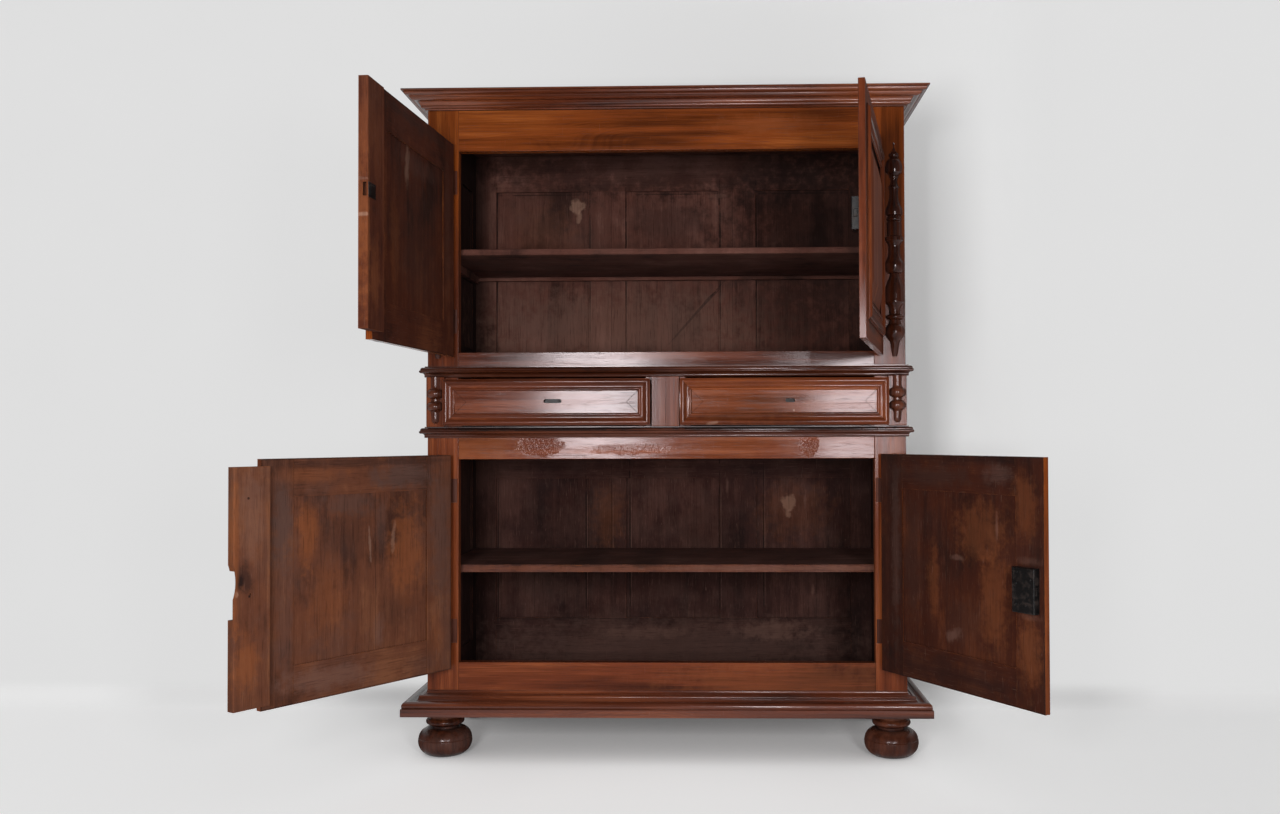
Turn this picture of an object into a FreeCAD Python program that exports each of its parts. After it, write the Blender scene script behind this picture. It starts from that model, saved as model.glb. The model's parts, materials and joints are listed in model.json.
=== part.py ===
"""Court cupboard: a two-stage oak cupboard with four panelled doors and two waist drawers.

Millimetres, +Z up. The origin is on the floor, under the middle of the case. The front faces -Y.
Every door stands open and both drawers are a little pulled out, as the cupboard is shown.
"""
import FreeCAD
import Part
import os

os.makedirs("parts", exist_ok=True)
V = FreeCAD.Vector

# Case: overall sizes, and the heights stacked up from the floor
case_width = 1350.0
case_depth = 575.0
foot_height = 131.0
bottom_rail_height = 140.0
door_opening_height = 573.0
lower_top_rail_height = 92.0
drawer_opening_height = 140.0
upper_bottom_rail_height = 70.0
frieze_height = 117.0
cornice_height = 47.0

# Front frame
stile_width = 88.0
frame_thickness = 30.0
tenon_length = 36.0
tenon_thickness_share = 0.33
tenon_shoulder = 12.0
joint_clearance = 0.1

# Sides and back
side_thickness = 25.0
side_stile_width = 78.0
side_muntin_width = 84.0
side_bottom_rail_height = 118.0
side_top_rail_height = 172.0
upper_side_top_rail_height = 130.0
back_stile_width = 67.0
back_muntin_width = 122.0
back_bottom_rail_height = 180.0
back_top_rail_height = 307.0
upper_back_bottom_rail_height = 104.0
upper_back_top_rail_height = 119.0
panel_thickness = 8.0
side_bays = 2
back_bays = 3
panel_setback = 8.0
groove_depth = 8.0
panel_clearance = 0.3

# Boards, shelves and cleats
board_thickness = 18.0
bottom_board_rise = 19.0
upper_floor_rise = 30.0
shelf_thickness = 18.0
lower_shelf_thickness = 21.0
shelf_setback = 59.0
lower_shelf_height_share = 0.432
upper_shelf_height_share = 0.499
shelf_nose_radius = 4.0
cleat_height = 24.0
cleat_width = 18.0
cleat_end_gap = 24.0
back_cleat_height = 12.0
board_clearance = 0.3

# Mouldings
base_moulding_height = 63.0
base_moulding_projection = 62.0
waist_moulding_height = 31.0
waist_moulding_projection = 20.0
cornice_projection = 62.0
cornice_seat = 20.0

# Feet and split spindles
foot_radius = 77.0
foot_inset = 60.0
foot_outer_inset = 37.0
spindle_radius = 28.0
spindle_length = 602.0
spindle_centre_inset = 30.0
spindle_drop = 16.0
waist_spindle_radius = 24.0
waist_spindle_length = 131.0
waist_spindle_centre_inset = 26.0

# Waist blocks and drawers
waist_block_width = 51.0
waist_block_thickness = 16.0
centre_block_width = 77.0
muntin_width = 112.0
drawer_front_gap = 3.0
drawer_front_height = 130.0
drawer_front_thickness = 16.0
drawer_front_clearance = 1.0
drawer_depth = 480.0
drawer_side_thickness = 12.0
drawer_side_height = 108.0
drawer_side_clearance = 3.0
drawer_bottom_thickness = 7.0
drawer_bottom_rise = 6.0
drawer_moulding_width = 34.0
drawer_moulding_height = 9.0
drawer_rest_pull = 30.0
runner_clearance = 0.5
runner_height = 12.0
runner_width = 30.0
guide_height = 36.0
dust_board_thickness = 12.0

# Doors
door_overlap = 13.0
door_thickness = 16.0
door_gap = 1.0
door_stile_width = 90.0
door_rail_width = 94.0
door_panel_setback = 5.0
door_meeting_gap = 3.0
meeting_line_x = 4.0
hinge_overlap = 24.0
door_edge_gap = 6.0
door_moulding_width = 52.0
door_moulding_height = 9.0
door_moulding_margin = 46.0
cushion_margin = 12.0
cushion_slope = 44.0
cushion_height = 13.0
cushion_edge_share = 0.2
upper_left_open_angle = 94.9
upper_right_open_angle = 78.0
lower_left_open_angle = 124.0
lower_right_open_angle = 120.2

# Meeting posts
post_width = 96.0
post_thickness = 24.0
post_lap = 7.5
post_front_clearance = 1.5
post_end_clearance = 4.0
post_skin = 4.0
post_round_radius = 3.0
post_wear_depth = 7.0
post_wear_height = 80.0
post_wear_rise = 31.0
post_pin_hole_radius = 3.0
post_pin_hole_inset = 43.0
post_pin_hole_depth = 3.0
catch_hole_width = 9.0
catch_hole_height = 31.0
catch_hole_depth = 12.0
catch_hole_rise = 37.0
catch_hole_inset = 3.0

# Hinges
knuckle_radius = 4.0
knuckle_length = 22.0
knuckle_gap = 0.4
pin_radius = 2.0
pin_clearance = 0.06
pin_head_radius = 3.2
pin_head_height = 3.0
leaf_thickness = 1.6
leaf_inset = 1.0
web_thickness = 2.5
web_start = 2.5
foot_plate_width = 20.0
hinge_place_share = 0.17

# Door locks
lower_lock_width = 71.0
lower_lock_height = 107.0
upper_lock_width = 52.0
upper_lock_height = 76.0
lock_depth = 18.0
lock_setback = 15.0
lower_lock_drop_share = 0.025
upper_lock_drop_share = 0.014
lock_clearance = 3.0
lock_edge_radius = 2.0
bolt_thickness = 8.0
bolt_height = 18.0
bolt_length = 52.0
bolt_rest = 2.0
bolt_throw = 12.0
bolt_clearance = 0.3
bolt_mortise_clearance = 2.0
keyhole_radius = 4.0
keyhole_slot_width = 4.0
keyhole_slot_length = 14.0

# Drawer locks
drawer_lock_width = 56.0
drawer_lock_height = 80.0
drawer_lock_depth = 9.0
drawer_lock_top_gap = 4.0
drawer_bolt_width = 20.0
drawer_bolt_thickness = 5.0
drawer_bolt_length = 36.0
drawer_bolt_setback = 1.0
drawer_bolt_throw = 13.0
drawer_bolt_front = 2.0
drawer_keyhole_rise_share = 0.52
drawer_keyhole_height = 11.0
left_keyhole_length = 50.0
right_keyhole_length = 27.0
left_keyhole_shift = -18.0
right_keyhole_shift = 17.0

# One overrun serves every cut
overrun = 1.0

# Outlines as (out, up, bow) shares of projection and height; bow is an arc's rise to the left of its chord
cornice_shares = (
    (0.10, 0.0, 0.0), (0.12, 0.06, 0.0), (0.16, 0.08, 0.0), (0.26, 0.22, -0.35), (0.29, 0.25, 0.0),
    (0.31, 0.31, 0.0), (0.46, 0.46, 0.2), (0.70, 0.66, -0.2), (0.75, 0.70, 0.0), (0.90, 0.88, -0.3),
    (0.95, 0.90, 0.0), (1.0, 0.91, 0.0), (1.0, 1.0, 0.0))
base_shares = (
    (1.0, 0.0, 0.0), (1.0, 0.33, 0.0), (0.93, 0.36, 0.0), (0.62, 0.58, -0.45), (0.58, 0.60, 0.0),
    (0.34, 0.68, 0.3), (0.32, 0.71, 0.0), (0.16, 0.80, -0.4), (0.13, 0.84, 0.0), (0.02, 1.0, 0.25))
waist_shares = (
    (0.35, 0.0, 0.0), (0.38, 0.10, 0.0), (0.85, 0.38, 0.3), (0.93, 0.42, 0.0), (0.93, 0.62, -0.22),
    (0.85, 0.65, 0.0), (0.40, 0.88, -0.3), (0.34, 0.91, 0.0), (0.34, 1.0, 0.0))
door_moulding_shares = (
    (0.0, 0.35, 0.0), (0.08, 0.38, 0.0), (0.30, 0.94, 0.3), (0.38, 1.0, 0.1), (0.44, 0.94, 0.1),
    (0.72, 0.30, -0.25), (0.78, 0.30, 0.0), (0.94, 0.26, 0.45), (1.0, 0.12, 0.0))
drawer_moulding_shares = (
    (0.0, 0.45, 0.0), (0.06, 0.50, 0.0), (0.42, 0.72, 0.3), (0.46, 0.50, 0.0), (0.72, 0.26, -0.12),
    (0.78, 0.34, 0.0), (0.95, 0.30, 0.35), (1.0, 0.10, 0.0))

# Turned outlines as (radius, height, bow) shares, from the bottom up
foot_shares = (
    (0.55, 0.0, 0.0), (0.985, 0.36, -0.22), (0.96, 0.375, 0.0), (0.975, 0.39, 0.0), (0.49, 0.585, -0.2),
    (0.49, 0.63, 0.0), (0.60, 0.66, 0.0), (0.60, 0.79, -0.48), (0.56, 0.81, 0.0), (0.60, 1.0, 0.0))
spindle_shares = (
    (0.24, 0.0, 0.0), (0.50, 0.07, 0.0), (0.72, 0.083, 0.0), (0.60, 0.152, -0.23), (0.58, 0.168, 0.0),
    (0.84, 0.176, 0.0), (0.84, 0.190, -0.3), (0.55, 0.198, 0.0), (0.55, 0.215, 0.0), (1.0, 0.252, 0.1),
    (0.98, 0.27, -0.05), (0.50, 0.37, -0.07), (0.46, 0.385, 0.0), (0.72, 0.39, 0.0), (0.98, 0.418, -0.1),
    (0.94, 0.438, -0.1), (0.60, 0.50, 0.1), (0.92, 0.54, 0.15), (0.92, 0.556, 0.0), (0.72, 0.562, 0.0),
    (0.72, 0.625, 0.0), (0.62, 0.632, 0.0), (0.66, 0.648, -0.3), (0.62, 0.655, 0.0), (0.82, 0.66, 0.0),
    (0.80, 0.69, -0.08), (0.46, 0.785, 0.08), (0.56, 0.79, 0.0), (0.42, 0.80, 0.0), (0.36, 0.832, 0.1),
    (0.44, 0.845, -0.2), (0.80, 0.86, 0.0), (0.82, 0.895, -0.06), (0.34, 0.93, -0.1), (0.40, 0.95, -0.3),
    (0.12, 1.0, 0.15))
waist_spindle_shares = (
    (0.18, 0.0, 0.0), (0.44, 0.06, -0.1), (0.48, 0.24, 0.0), (0.62, 0.27, 0.0), (0.62, 0.46, -0.36),
    (0.48, 0.48, 0.0), (0.48, 0.52, 0.0), (0.62, 0.54, 0.0), (0.62, 0.74, -0.35), (0.50, 0.78, 0.0),
    (0.50, 1.0, 0.0))

# Derived levels and places
front = -case_depth / 2
back = case_depth / 2
half_width = case_width / 2
bottom_rail_top = foot_height + bottom_rail_height
lower_opening_top = bottom_rail_top + door_opening_height
drawer_level = lower_opening_top + lower_top_rail_height
stage_seam = drawer_level + drawer_opening_height
upper_opening_bottom = stage_seam + upper_bottom_rail_height
upper_opening_top = upper_opening_bottom + door_opening_height
frieze_top = upper_opening_top + frieze_height
opening_half = half_width - stile_width
frame_back = front + frame_thickness
back_front = back - side_thickness
inner_half = half_width - side_thickness
board_half = inner_half - board_clearance
axis_y = front - door_gap - door_thickness
axis_x = opening_half + hinge_overlap
waist_block_inner = half_width - waist_block_width
lower_moulding_z = drawer_level - waist_moulding_height


def save(name, *solids):
    """Write one node, made of one or more separate solids."""
    shape = solids[0] if len(solids) == 1 else Part.makeCompound(list(solids))
    shape.exportStep("parts/" + name + ".step")


def block(x0, x1, y0, y1, z0, z1):
    return Part.makeBox(x1 - x0, y1 - y0, z1 - z0, V(x0, y0, z0))


def mirrored(shape):
    """The same piece on the other side of the middle plane."""
    return shape.mirror(V(0, 0, 0), V(1, 0, 0))


def both_sides(shape):
    return [shape, mirrored(shape)]


def outline_face(points, closing):
    """A face in the XZ plane through points (x, z, bow), closed over the closing points."""
    first = V(points[0][0], 0, points[0][1])
    edges = []
    last = first
    for x, z, bow in list(points[1:]) + [(x, z, 0.0) for x, z in closing]:
        here = V(x, 0, z)
        if bow:
            chord = here - last
            rise = V(-chord.z, 0, chord.x) * bow
            edges.append(Part.Arc(last, (last + here) * 0.5 + rise, here).toShape())
        else:
            edges.append(Part.LineSegment(last, here).toShape())
        last = here
    edges.append(Part.LineSegment(last, first).toShape())
    return Part.Face(Part.Wire(edges))


def scaled(shares, out, up, start=0.0):
    return [(out * a, start + up * b, bow) for a, b, bow in shares]


def turned(shares, radius, height, angle=360.0):
    """A turned piece on the Z axis, or the half of one that faces -Y."""
    face = outline_face(scaled(shares, radius, height), [(0, height), (0, 0)])
    return face.revolve(V(0, 0, 0), V(0, 0, 1), -angle)


def plan_prism(corners, z0, z1):
    wire = Part.makePolygon([V(x, y, z0) for x, y in corners + corners[:1]])
    return Part.Face(wire).extrude(V(0, 0, z1 - z0))


def run_round_case(shares, projection, height, z0, seat=0.0):
    """A moulding along the front with returns on both sides, mitred at the front corners."""
    closing = [(-seat, height), (-seat, 0)]
    face = outline_face(scaled(shares, projection, height), closing)
    outer = half_width + projection
    inner = half_width - seat
    low = z0 - overrun
    high = z0 + height + overrun
    along_x = face.copy()
    along_x.rotate(V(0, 0, 0), V(0, 0, 1), -90)
    along_x.translate(V(-outer, front, z0))
    front_plan = [(-outer, front - projection), (outer, front - projection), (inner, front + seat),
                  (-inner, front + seat)]
    front_run = along_x.extrude(V(2 * outer, 0, 0)).common(plan_prism(front_plan, low, high))
    along_y = face.copy()
    along_y.translate(V(half_width, front - projection, z0))
    side_plan = [(outer, front - projection), (outer, back), (inner, back), (inner, front + seat)]
    side_length = case_depth + projection
    side_run = along_y.extrude(V(0, side_length, 0)).common(plan_prism(side_plan, low, high))
    return [front_run] + both_sides(side_run)


def ring_moulding(shares, width, height, x0, x1, z0, z1, y_face):
    """Four mitred lengths of moulding round a rectangle, standing out from y_face towards -Y."""
    profile = outline_face(scaled(shares, width, height), [(width, 0), (0, 0)])
    pieces = []
    for turn, corner in enumerate([(x0, z0), (x1, z0), (x1, z1), (x0, z1)]):
        length = (x1 - x0) if turn % 2 == 0 else (z1 - z0)
        face = profile.copy()
        face.rotate(V(0, 0, 0), V(0, 0, 1), 90)
        face.rotate(V(0, 0, 0), V(1, 0, 0), 90)
        prism = face.extrude(V(length, 0, 0))
        plan = Part.makePolygon([V(0, -height - overrun, 0), V(length, -height - overrun, 0),
                                 V(length - width, -height - overrun, width),
                                 V(width, -height - overrun, width), V(0, -height - overrun, 0)])
        piece = prism.common(Part.Face(plan).extrude(V(0, height + 2 * overrun, 0)))
        piece.rotate(V(0, 0, 0), V(0, 1, 0), -90 * turn)
        piece.translate(V(corner[0], y_face, corner[1]))
        pieces.append(piece)
    return pieces


def tenoned(x0, x1, y0, y1, z0, z1, axis="x", reach=tenon_length, grow=0.0):
    """A rail or muntin with a tenon at each end. With grow it is the tool that cuts the mortises."""
    middle = (y0 + y1) / 2
    half = (y1 - y0) * tenon_thickness_share / 2 + grow
    long_by = reach + grow
    inset = tenon_shoulder - grow
    if axis == "x":
        tongue = block(x0 - long_by, x1 + long_by, middle - half, middle + half, z0 + inset, z1 - inset)
    else:
        tongue = block(x0 + inset, x1 - inset, middle - half, middle + half, z0 - long_by, z1 + long_by)
    if grow:
        return tongue
    return block(x0, x1, y0, y1, z0, z1).fuse(tongue).removeSplitter()


def frame_and_panels(width, height, thickness, stile, top, bottom, muntin, bays, setback, reach):
    """Mortised frame in the XZ plane with its panels in grooves; face at y=0, corner at the origin."""
    members = [block(0, stile, 0, thickness, 0, height),
               block(width - stile, width, 0, thickness, 0, height)]
    rails = [(stile, width - stile, 0, thickness, 0, bottom),
             (stile, width - stile, 0, thickness, height - top, height)]
    for rail in rails:
        mortise = tenoned(*rail, reach=reach, grow=joint_clearance)
        members[:2] = [stile_member.cut(mortise) for stile_member in members[:2]]
    members += [tenoned(*rail, reach=reach) for rail in rails]
    bay = (width - 2 * stile - (bays - 1) * muntin) / bays
    for k in range(1, bays):
        x = stile + k * bay + (k - 1) * muntin
        upright = (x, x + muntin, 0, thickness, bottom, height - top)
        mortise = tenoned(*upright, axis="z", reach=reach, grow=joint_clearance)
        members[2:4] = [rail_member.cut(mortise) for rail_member in members[2:4]]
        members.append(tenoned(*upright, axis="z", reach=reach))
    panels = []
    for k in range(bays):
        x = stile + k * (bay + muntin)
        groove = block(x - groove_depth, x + bay + groove_depth, setback - panel_clearance,
                       setback + panel_thickness + panel_clearance, bottom - groove_depth,
                       height - top + groove_depth)
        members = [m.cut(groove) if m.BoundBox.intersect(groove.BoundBox) else m for m in members]
        lap = groove_depth - panel_clearance
        panels.append(block(x - lap, x + bay + lap, setback, setback + panel_thickness, bottom - lap,
                            height - top + lap))
    return members, panels


def moved(shapes, x, y, z, turn=0.0):
    """Copies of the shapes, turned about Z at the origin and then moved."""
    result = []
    for shape in shapes:
        copy = shape.copy()
        copy.rotate(V(0, 0, 0), V(0, 0, 1), turn)
        copy.translate(V(x, y, z))
        result.append(copy)
    return result


def eased(shape, radius, picks):
    """Round the edges whose middle point the test picks."""
    edges = [e for e in shape.Edges if picks(e.CenterOfMass)]
    return shape.makeFillet(radius, edges) if edges else shape


def build_feet():
    foot = turned(foot_shares, foot_radius, foot_height)
    x = half_width - foot_outer_inset
    places = [(side * x, y) for side in (1, -1) for y in (front + foot_inset, back - foot_inset)]
    save("bun_feet", *[moved([foot], px, py, 0)[0] for px, py in places])


def build_front_frame():
    """Stiles of both stages, tenoned rails and the muntin between the drawers."""
    y0, y1 = front, frame_back
    span = (-opening_half, opening_half)
    rails = {
        "bottom_rail": (*span, y0, y1, foot_height, bottom_rail_top),
        "lower_top_rail": (*span, y0, y1, lower_opening_top, drawer_level),
        "upper_bottom_rail": (*span, y0, y1, stage_seam, upper_opening_bottom),
        "frieze_rail": (*span, y0, y1, upper_opening_top, frieze_top),
    }
    solids = {name: tenoned(*sizes) for name, sizes in rails.items()}
    lower_stile = block(opening_half, half_width, y0, y1, foot_height, stage_seam)
    upper_stile = block(opening_half, half_width, y0, y1, stage_seam, frieze_top)
    for sizes in rails.values():
        mortise = tenoned(*sizes, grow=joint_clearance)
        lower_stile = lower_stile.cut(mortise)
        upper_stile = upper_stile.cut(mortise)
    for height in hinge_heights("lower"):
        lower_stile = lower_stile.cut(hinge_recess(height))
    for height in hinge_heights("upper"):
        upper_stile = upper_stile.cut(hinge_recess(height))
    for side in (-1, 1):
        pocket = drawer_bolt_box(side, bolt_clearance + drawer_bolt_front / 2)
        pocket.translate(V(0, 0, drawer_bolt_throw + bolt_clearance))
        pocket = pocket if side > 0 else mirrored(pocket)
        solids["upper_bottom_rail"] = solids["upper_bottom_rail"].cut(pocket)
    save("drawer_muntin", block(-muntin_width / 2, muntin_width / 2, y0, y1, drawer_level, stage_seam))
    for name, solid in solids.items():
        save(name, solid)
    save("lower_front_stiles", *both_sides(lower_stile))
    save("upper_front_stiles", *both_sides(upper_stile))
    block_y = y0 - waist_block_thickness
    end_block = block(waist_block_inner, half_width, block_y, y0, drawer_level, stage_seam)
    centre_half = centre_block_width / 2
    centre_block = block(-centre_half, centre_half, block_y, y0, drawer_level, stage_seam)
    save("waist_blocks", *both_sides(end_block), centre_block)


def build_stage(name, z0, z1, side_rails, back_rails):
    """Panelled sides and back of one stage, between two levels; rails are (bottom, top) heights."""
    height = z1 - z0
    side_length = case_depth - frame_thickness
    frame, panels = frame_and_panels(side_length, height, side_thickness, side_stile_width, side_rails[1],
                                     side_rails[0], side_muntin_width, side_bays, panel_setback,
                                     tenon_length)
    frame = moved(frame, half_width, frame_back, z0, 90)
    panels = moved(panels, half_width, frame_back, z0, 90)
    save(name + "_side_frames", *[s for f in frame for s in both_sides(f)])
    back_frame, back_panels = frame_and_panels(2 * inner_half, height, side_thickness, back_stile_width,
                                               back_rails[1], back_rails[0], back_muntin_width, back_bays,
                                               panel_setback, tenon_length)
    back_frame = moved(back_frame, -inner_half, back_front, z0)
    back_panels = moved(back_panels, -inner_half, back_front, z0)
    save(name + "_back_frame", *back_frame)
    save(name + "_case_panels", *[s for f in panels for s in both_sides(f)], *back_panels)


def build_boards():
    """Bottom, dust board, floor of the upper stage and the top board, all between the sides."""
    y0, y1 = frame_back + board_clearance, back_front - board_clearance
    bottom_z = foot_height + bottom_board_rise
    save("bottom_board", block(-board_half, board_half, y0, y1, bottom_z, bottom_z + board_thickness))
    dust_top = drawer_level - runner_height + runner_clearance * 2
    save("dust_board", block(-board_half, board_half, y0, y1, dust_top - dust_board_thickness, dust_top))
    floor_z = stage_seam + upper_floor_rise
    save("upper_floor_board", block(-board_half, board_half, y0, y1, floor_z, floor_z + board_thickness))
    top_half = half_width - cornice_seat - board_clearance
    save("top_board", block(-top_half, top_half, front + cornice_seat + board_clearance, back, frieze_top,
                            frieze_top + board_thickness))


def build_shelves():
    cleats = []
    stages = (("lower_shelf", bottom_rail_top, lower_shelf_height_share, lower_shelf_thickness),
              ("upper_shelf", upper_opening_bottom, upper_shelf_height_share, shelf_thickness))
    for name, base, share, thickness in stages:
        low = base + share * door_opening_height
        y0, y1 = front + shelf_setback, back_front - board_clearance
        shelf = block(-board_half, board_half, y0, y1, low, low + thickness)
        shelf = eased(shelf, shelf_nose_radius, lambda c: abs(c.y - y0) < overrun and abs(c.x) < overrun)
        save(name, shelf)
        side_cleat = block(inner_half - cleat_width, inner_half, y0 + cleat_end_gap,
                           y1 - cleat_width - cleat_end_gap, low - cleat_height, low)
        back_cleat = block(-board_half, board_half, back_front - cleat_width, back_front,
                           low - back_cleat_height, low)
        cleats += both_sides(side_cleat) + [back_cleat]
    save("shelf_cleats", *cleats)


def build_mouldings():
    base = run_round_case(base_shares, base_moulding_projection, base_moulding_height, foot_height)
    save("base_moulding", *base)
    waists = []
    for z0 in (lower_moulding_z, stage_seam):
        waists += run_round_case(waist_shares, waist_moulding_projection, waist_moulding_height, z0)
    save("waist_mouldings", *waists)
    cornice = run_round_case(cornice_shares, cornice_projection, cornice_height, frieze_top, cornice_seat)
    save("cornice", *cornice)


def build_spindles():
    """Long split spindles on the stiles beside the doors, short ones on the end blocks of the waist."""
    long_one = turned(spindle_shares, spindle_radius, spindle_length, 180.0)
    x = half_width - spindle_centre_inset
    pairs = []
    for base in (bottom_rail_top, upper_opening_bottom):
        pairs += both_sides(moved([long_one], x, front, base - spindle_drop)[0])
    save("stile_spindles", *pairs)
    short_one = turned(waist_spindle_shares, waist_spindle_radius, waist_spindle_length, 180.0)
    x = half_width - waist_spindle_centre_inset
    z = stage_seam - waist_spindle_length
    save("waist_spindles", *both_sides(moved([short_one], x, front - waist_block_thickness, z)[0]))


# Hinges: the door turns about X = axis_x, Y = axis_y, in the plane of its outer face
def door_levels(stage):
    base = bottom_rail_top if stage == "lower" else upper_opening_bottom
    return base - door_overlap, base + door_opening_height + door_overlap


def hinge_heights(stage):
    low, high = door_levels(stage)
    return [low + (high - low) * share for share in (hinge_place_share, 1 - hinge_place_share)]


def hinge_half():
    return 1.5 * knuckle_length + knuckle_gap


def hinge_recess(height):
    """The room that a foot plate takes in the face of the right stile."""
    reach = foot_plate_width + joint_clearance
    return block(axis_x - reach, axis_x + web_thickness / 2 + joint_clearance, front,
                 front + web_thickness + joint_clearance, height - hinge_half() - joint_clearance,
                 height + hinge_half() + joint_clearance)


def barrel(radius, z0, z1):
    return Part.makeCylinder(radius, z1 - z0, V(axis_x, axis_y, z0))


def case_leaf(height):
    """Outer knuckles, their webs and the foot plate let into the right stile."""
    half = hinge_half()
    plate = block(axis_x - foot_plate_width, axis_x + web_thickness / 2, front, front + web_thickness,
                  height - half, height + half)
    leaf = plate
    for z0 in (height - half, height + half - knuckle_length):
        z1 = z0 + knuckle_length
        web = block(axis_x - web_thickness / 2, axis_x + web_thickness / 2, axis_y + web_start,
                    front + web_thickness, z0, z1)
        leaf = leaf.fuse(web).fuse(barrel(knuckle_radius, z0, z1))
    bore = barrel(pin_radius + joint_clearance / 2, height - half - overrun, height + half + overrun)
    return leaf.cut(bore).removeSplitter()


def hinge_pin(height):
    half = hinge_half()
    shank = barrel(pin_radius, height - half - pin_head_height / 2, height + half)
    head = barrel(pin_head_radius, height + half, height + half + pin_head_height)
    return shank.fuse(head).removeSplitter()


def door_leaf(height):
    """Middle knuckle and the plate on the door's edge, for a closed right door."""
    z0, z1 = height - knuckle_length / 2, height + knuckle_length / 2
    edge_x = axis_x - door_edge_gap
    plate = block(edge_x, edge_x + leaf_thickness, axis_y + leaf_inset, front - door_gap - leaf_inset,
                  height - hinge_half(), height + hinge_half())
    arm = block(edge_x, axis_x, axis_y + leaf_inset, axis_y + leaf_inset + web_thickness, z0, z1)
    bore = barrel(pin_radius + pin_clearance, z0 - overrun, z1 + overrun)
    return plate.fuse(arm).fuse(barrel(knuckle_radius, z0, z1)).cut(bore).removeSplitter()


def build_case_hinges():
    solids = []
    for stage in ("lower", "upper"):
        for height in hinge_heights(stage):
            solids += both_sides(case_leaf(height)) + both_sides(hinge_pin(height))
    save("case_hinges", *solids)


def lock_level(stage):
    """Middle height of a door's lock."""
    low, high = door_levels(stage)
    drop_share = lower_lock_drop_share if stage == "lower" else upper_lock_drop_share
    return (low + high) / 2 - (high - low) * drop_share


def lock_size(stage):
    """Width and height of a door's lock."""
    if stage == "lower":
        return lower_lock_width, lower_lock_height
    return upper_lock_width, upper_lock_height


def build_door(stage, side, angle):
    """One door, modelled closed and then turned about its hinge; side is -1 left, +1 right."""
    low, high = door_levels(stage)
    outer_y, inner_y = axis_y, axis_y + door_thickness
    hinge_edge = axis_x - door_edge_gap
    # The right door's free edge in its own place; the left door is modelled mirrored on the right too
    free_edge = door_meeting_gap / 2 + side * meeting_line_x
    width = hinge_edge - free_edge
    frame, panels = frame_and_panels(width, high - low, door_thickness, door_stile_width, door_rail_width,
                                     door_rail_width, 0, 1, door_panel_setback, tenon_length)
    frame = moved(frame, free_edge, outer_y, low)
    panel = moved(panels, free_edge, outer_y, low)[0]
    ring = ring_moulding(door_moulding_shares, door_moulding_width, door_moulding_height,
                         free_edge + door_moulding_margin, hinge_edge - door_moulding_margin,
                         low + door_moulding_margin, high - door_moulding_margin, outer_y)
    inside = door_moulding_margin + door_moulding_width + cushion_margin
    cushion = bevelled_block(free_edge + inside, hinge_edge - inside, low + inside, high - inside,
                             outer_y + door_panel_setback, cushion_height, cushion_slope)
    leaves = [door_leaf(height) for height in hinge_heights(stage)]
    nodes = {"frame": frame, "panel": [panel], "mouldings": ring + [cushion], "hinge_leaves": leaves}
    name = stage + ("_left" if side < 0 else "_right")
    if side > 0:
        case, bolt = door_lock(stage, free_edge)
        nodes["lock"] = [case]
        nodes["bolt"] = [bolt]
        hole = keyhole(free_edge + lock_setback + lock_size(stage)[0] / 2, lock_level(stage),
                       outer_y - overrun, door_thickness + 2 * overrun)
        nodes["frame"] = [piece.cut(hole) for piece in frame]
    else:
        nodes["meeting_post"] = [meeting_post(stage, free_edge, inner_y)]
    for node, solids in nodes.items():
        placed = []
        for solid in solids:
            piece = solid.copy()
            piece.rotate(V(axis_x, axis_y, 0), V(0, 0, 1), angle)
            placed.append(piece if side > 0 else mirrored(piece))
        save(name + "_" + node, *placed)


def bevelled_block(x0, x1, z0, z1, y, height, slope):
    """A raised cushion with four sloping sides, standing out from y towards -Y."""
    foot = cushion_height * cushion_edge_share
    base = block(x0, x1, y - foot, y, z0, z1)
    low = Part.makePolygon([V(x, y - foot, z) for x, z in
                            ((x0, z0), (x1, z0), (x1, z1), (x0, z1), (x0, z0))])
    a0, a1, c0, c1 = x0 + slope, x1 - slope, z0 + slope, z1 - slope
    top_y = y - height
    top = Part.makePolygon([V(a0, top_y, c0), V(a1, top_y, c0), V(a1, top_y, c1), V(a0, top_y, c1),
                            V(a0, top_y, c0)])
    return base.fuse(Part.makeLoft([low, top], True, True)).removeSplitter()


def keyhole(x, z, y, depth):
    """A round hole with a slot below it, cut along Y."""
    round_part = Part.makeCylinder(keyhole_radius, depth, V(x, y, z), V(0, 1, 0))
    half_slot = keyhole_slot_width / 2
    slot = block(x - half_slot, x + half_slot, y, y + depth, z - keyhole_slot_length, z)
    return round_part.fuse(slot)


def door_lock(stage, free_edge):
    """Iron lock case on the right door's inner face and the bolt that slides out of it."""
    inner_y = axis_y + door_thickness
    x0 = free_edge + lock_setback
    z = lock_level(stage)
    width, height = lock_size(stage)
    half = height / 2
    case = block(x0, x0 + width, inner_y, inner_y + lock_depth, z - half, z + half)
    case = eased(case, lock_edge_radius,
                 lambda c: abs(c.y - inner_y - lock_depth) < joint_clearance)
    y0 = inner_y + (lock_depth - bolt_thickness) / 2
    bolt_half = bolt_height / 2
    gap = bolt_clearance
    channel = block(x0 - overrun, x0 + bolt_length + bolt_rest + gap, y0 - gap, y0 + bolt_thickness + gap,
                    z - bolt_half - gap, z + bolt_half + gap)
    bolt = block(x0 - bolt_rest, x0 - bolt_rest + bolt_length, y0, y0 + bolt_thickness, z - bolt_half,
                 z + bolt_half)
    return case.cut(channel), bolt


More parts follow.
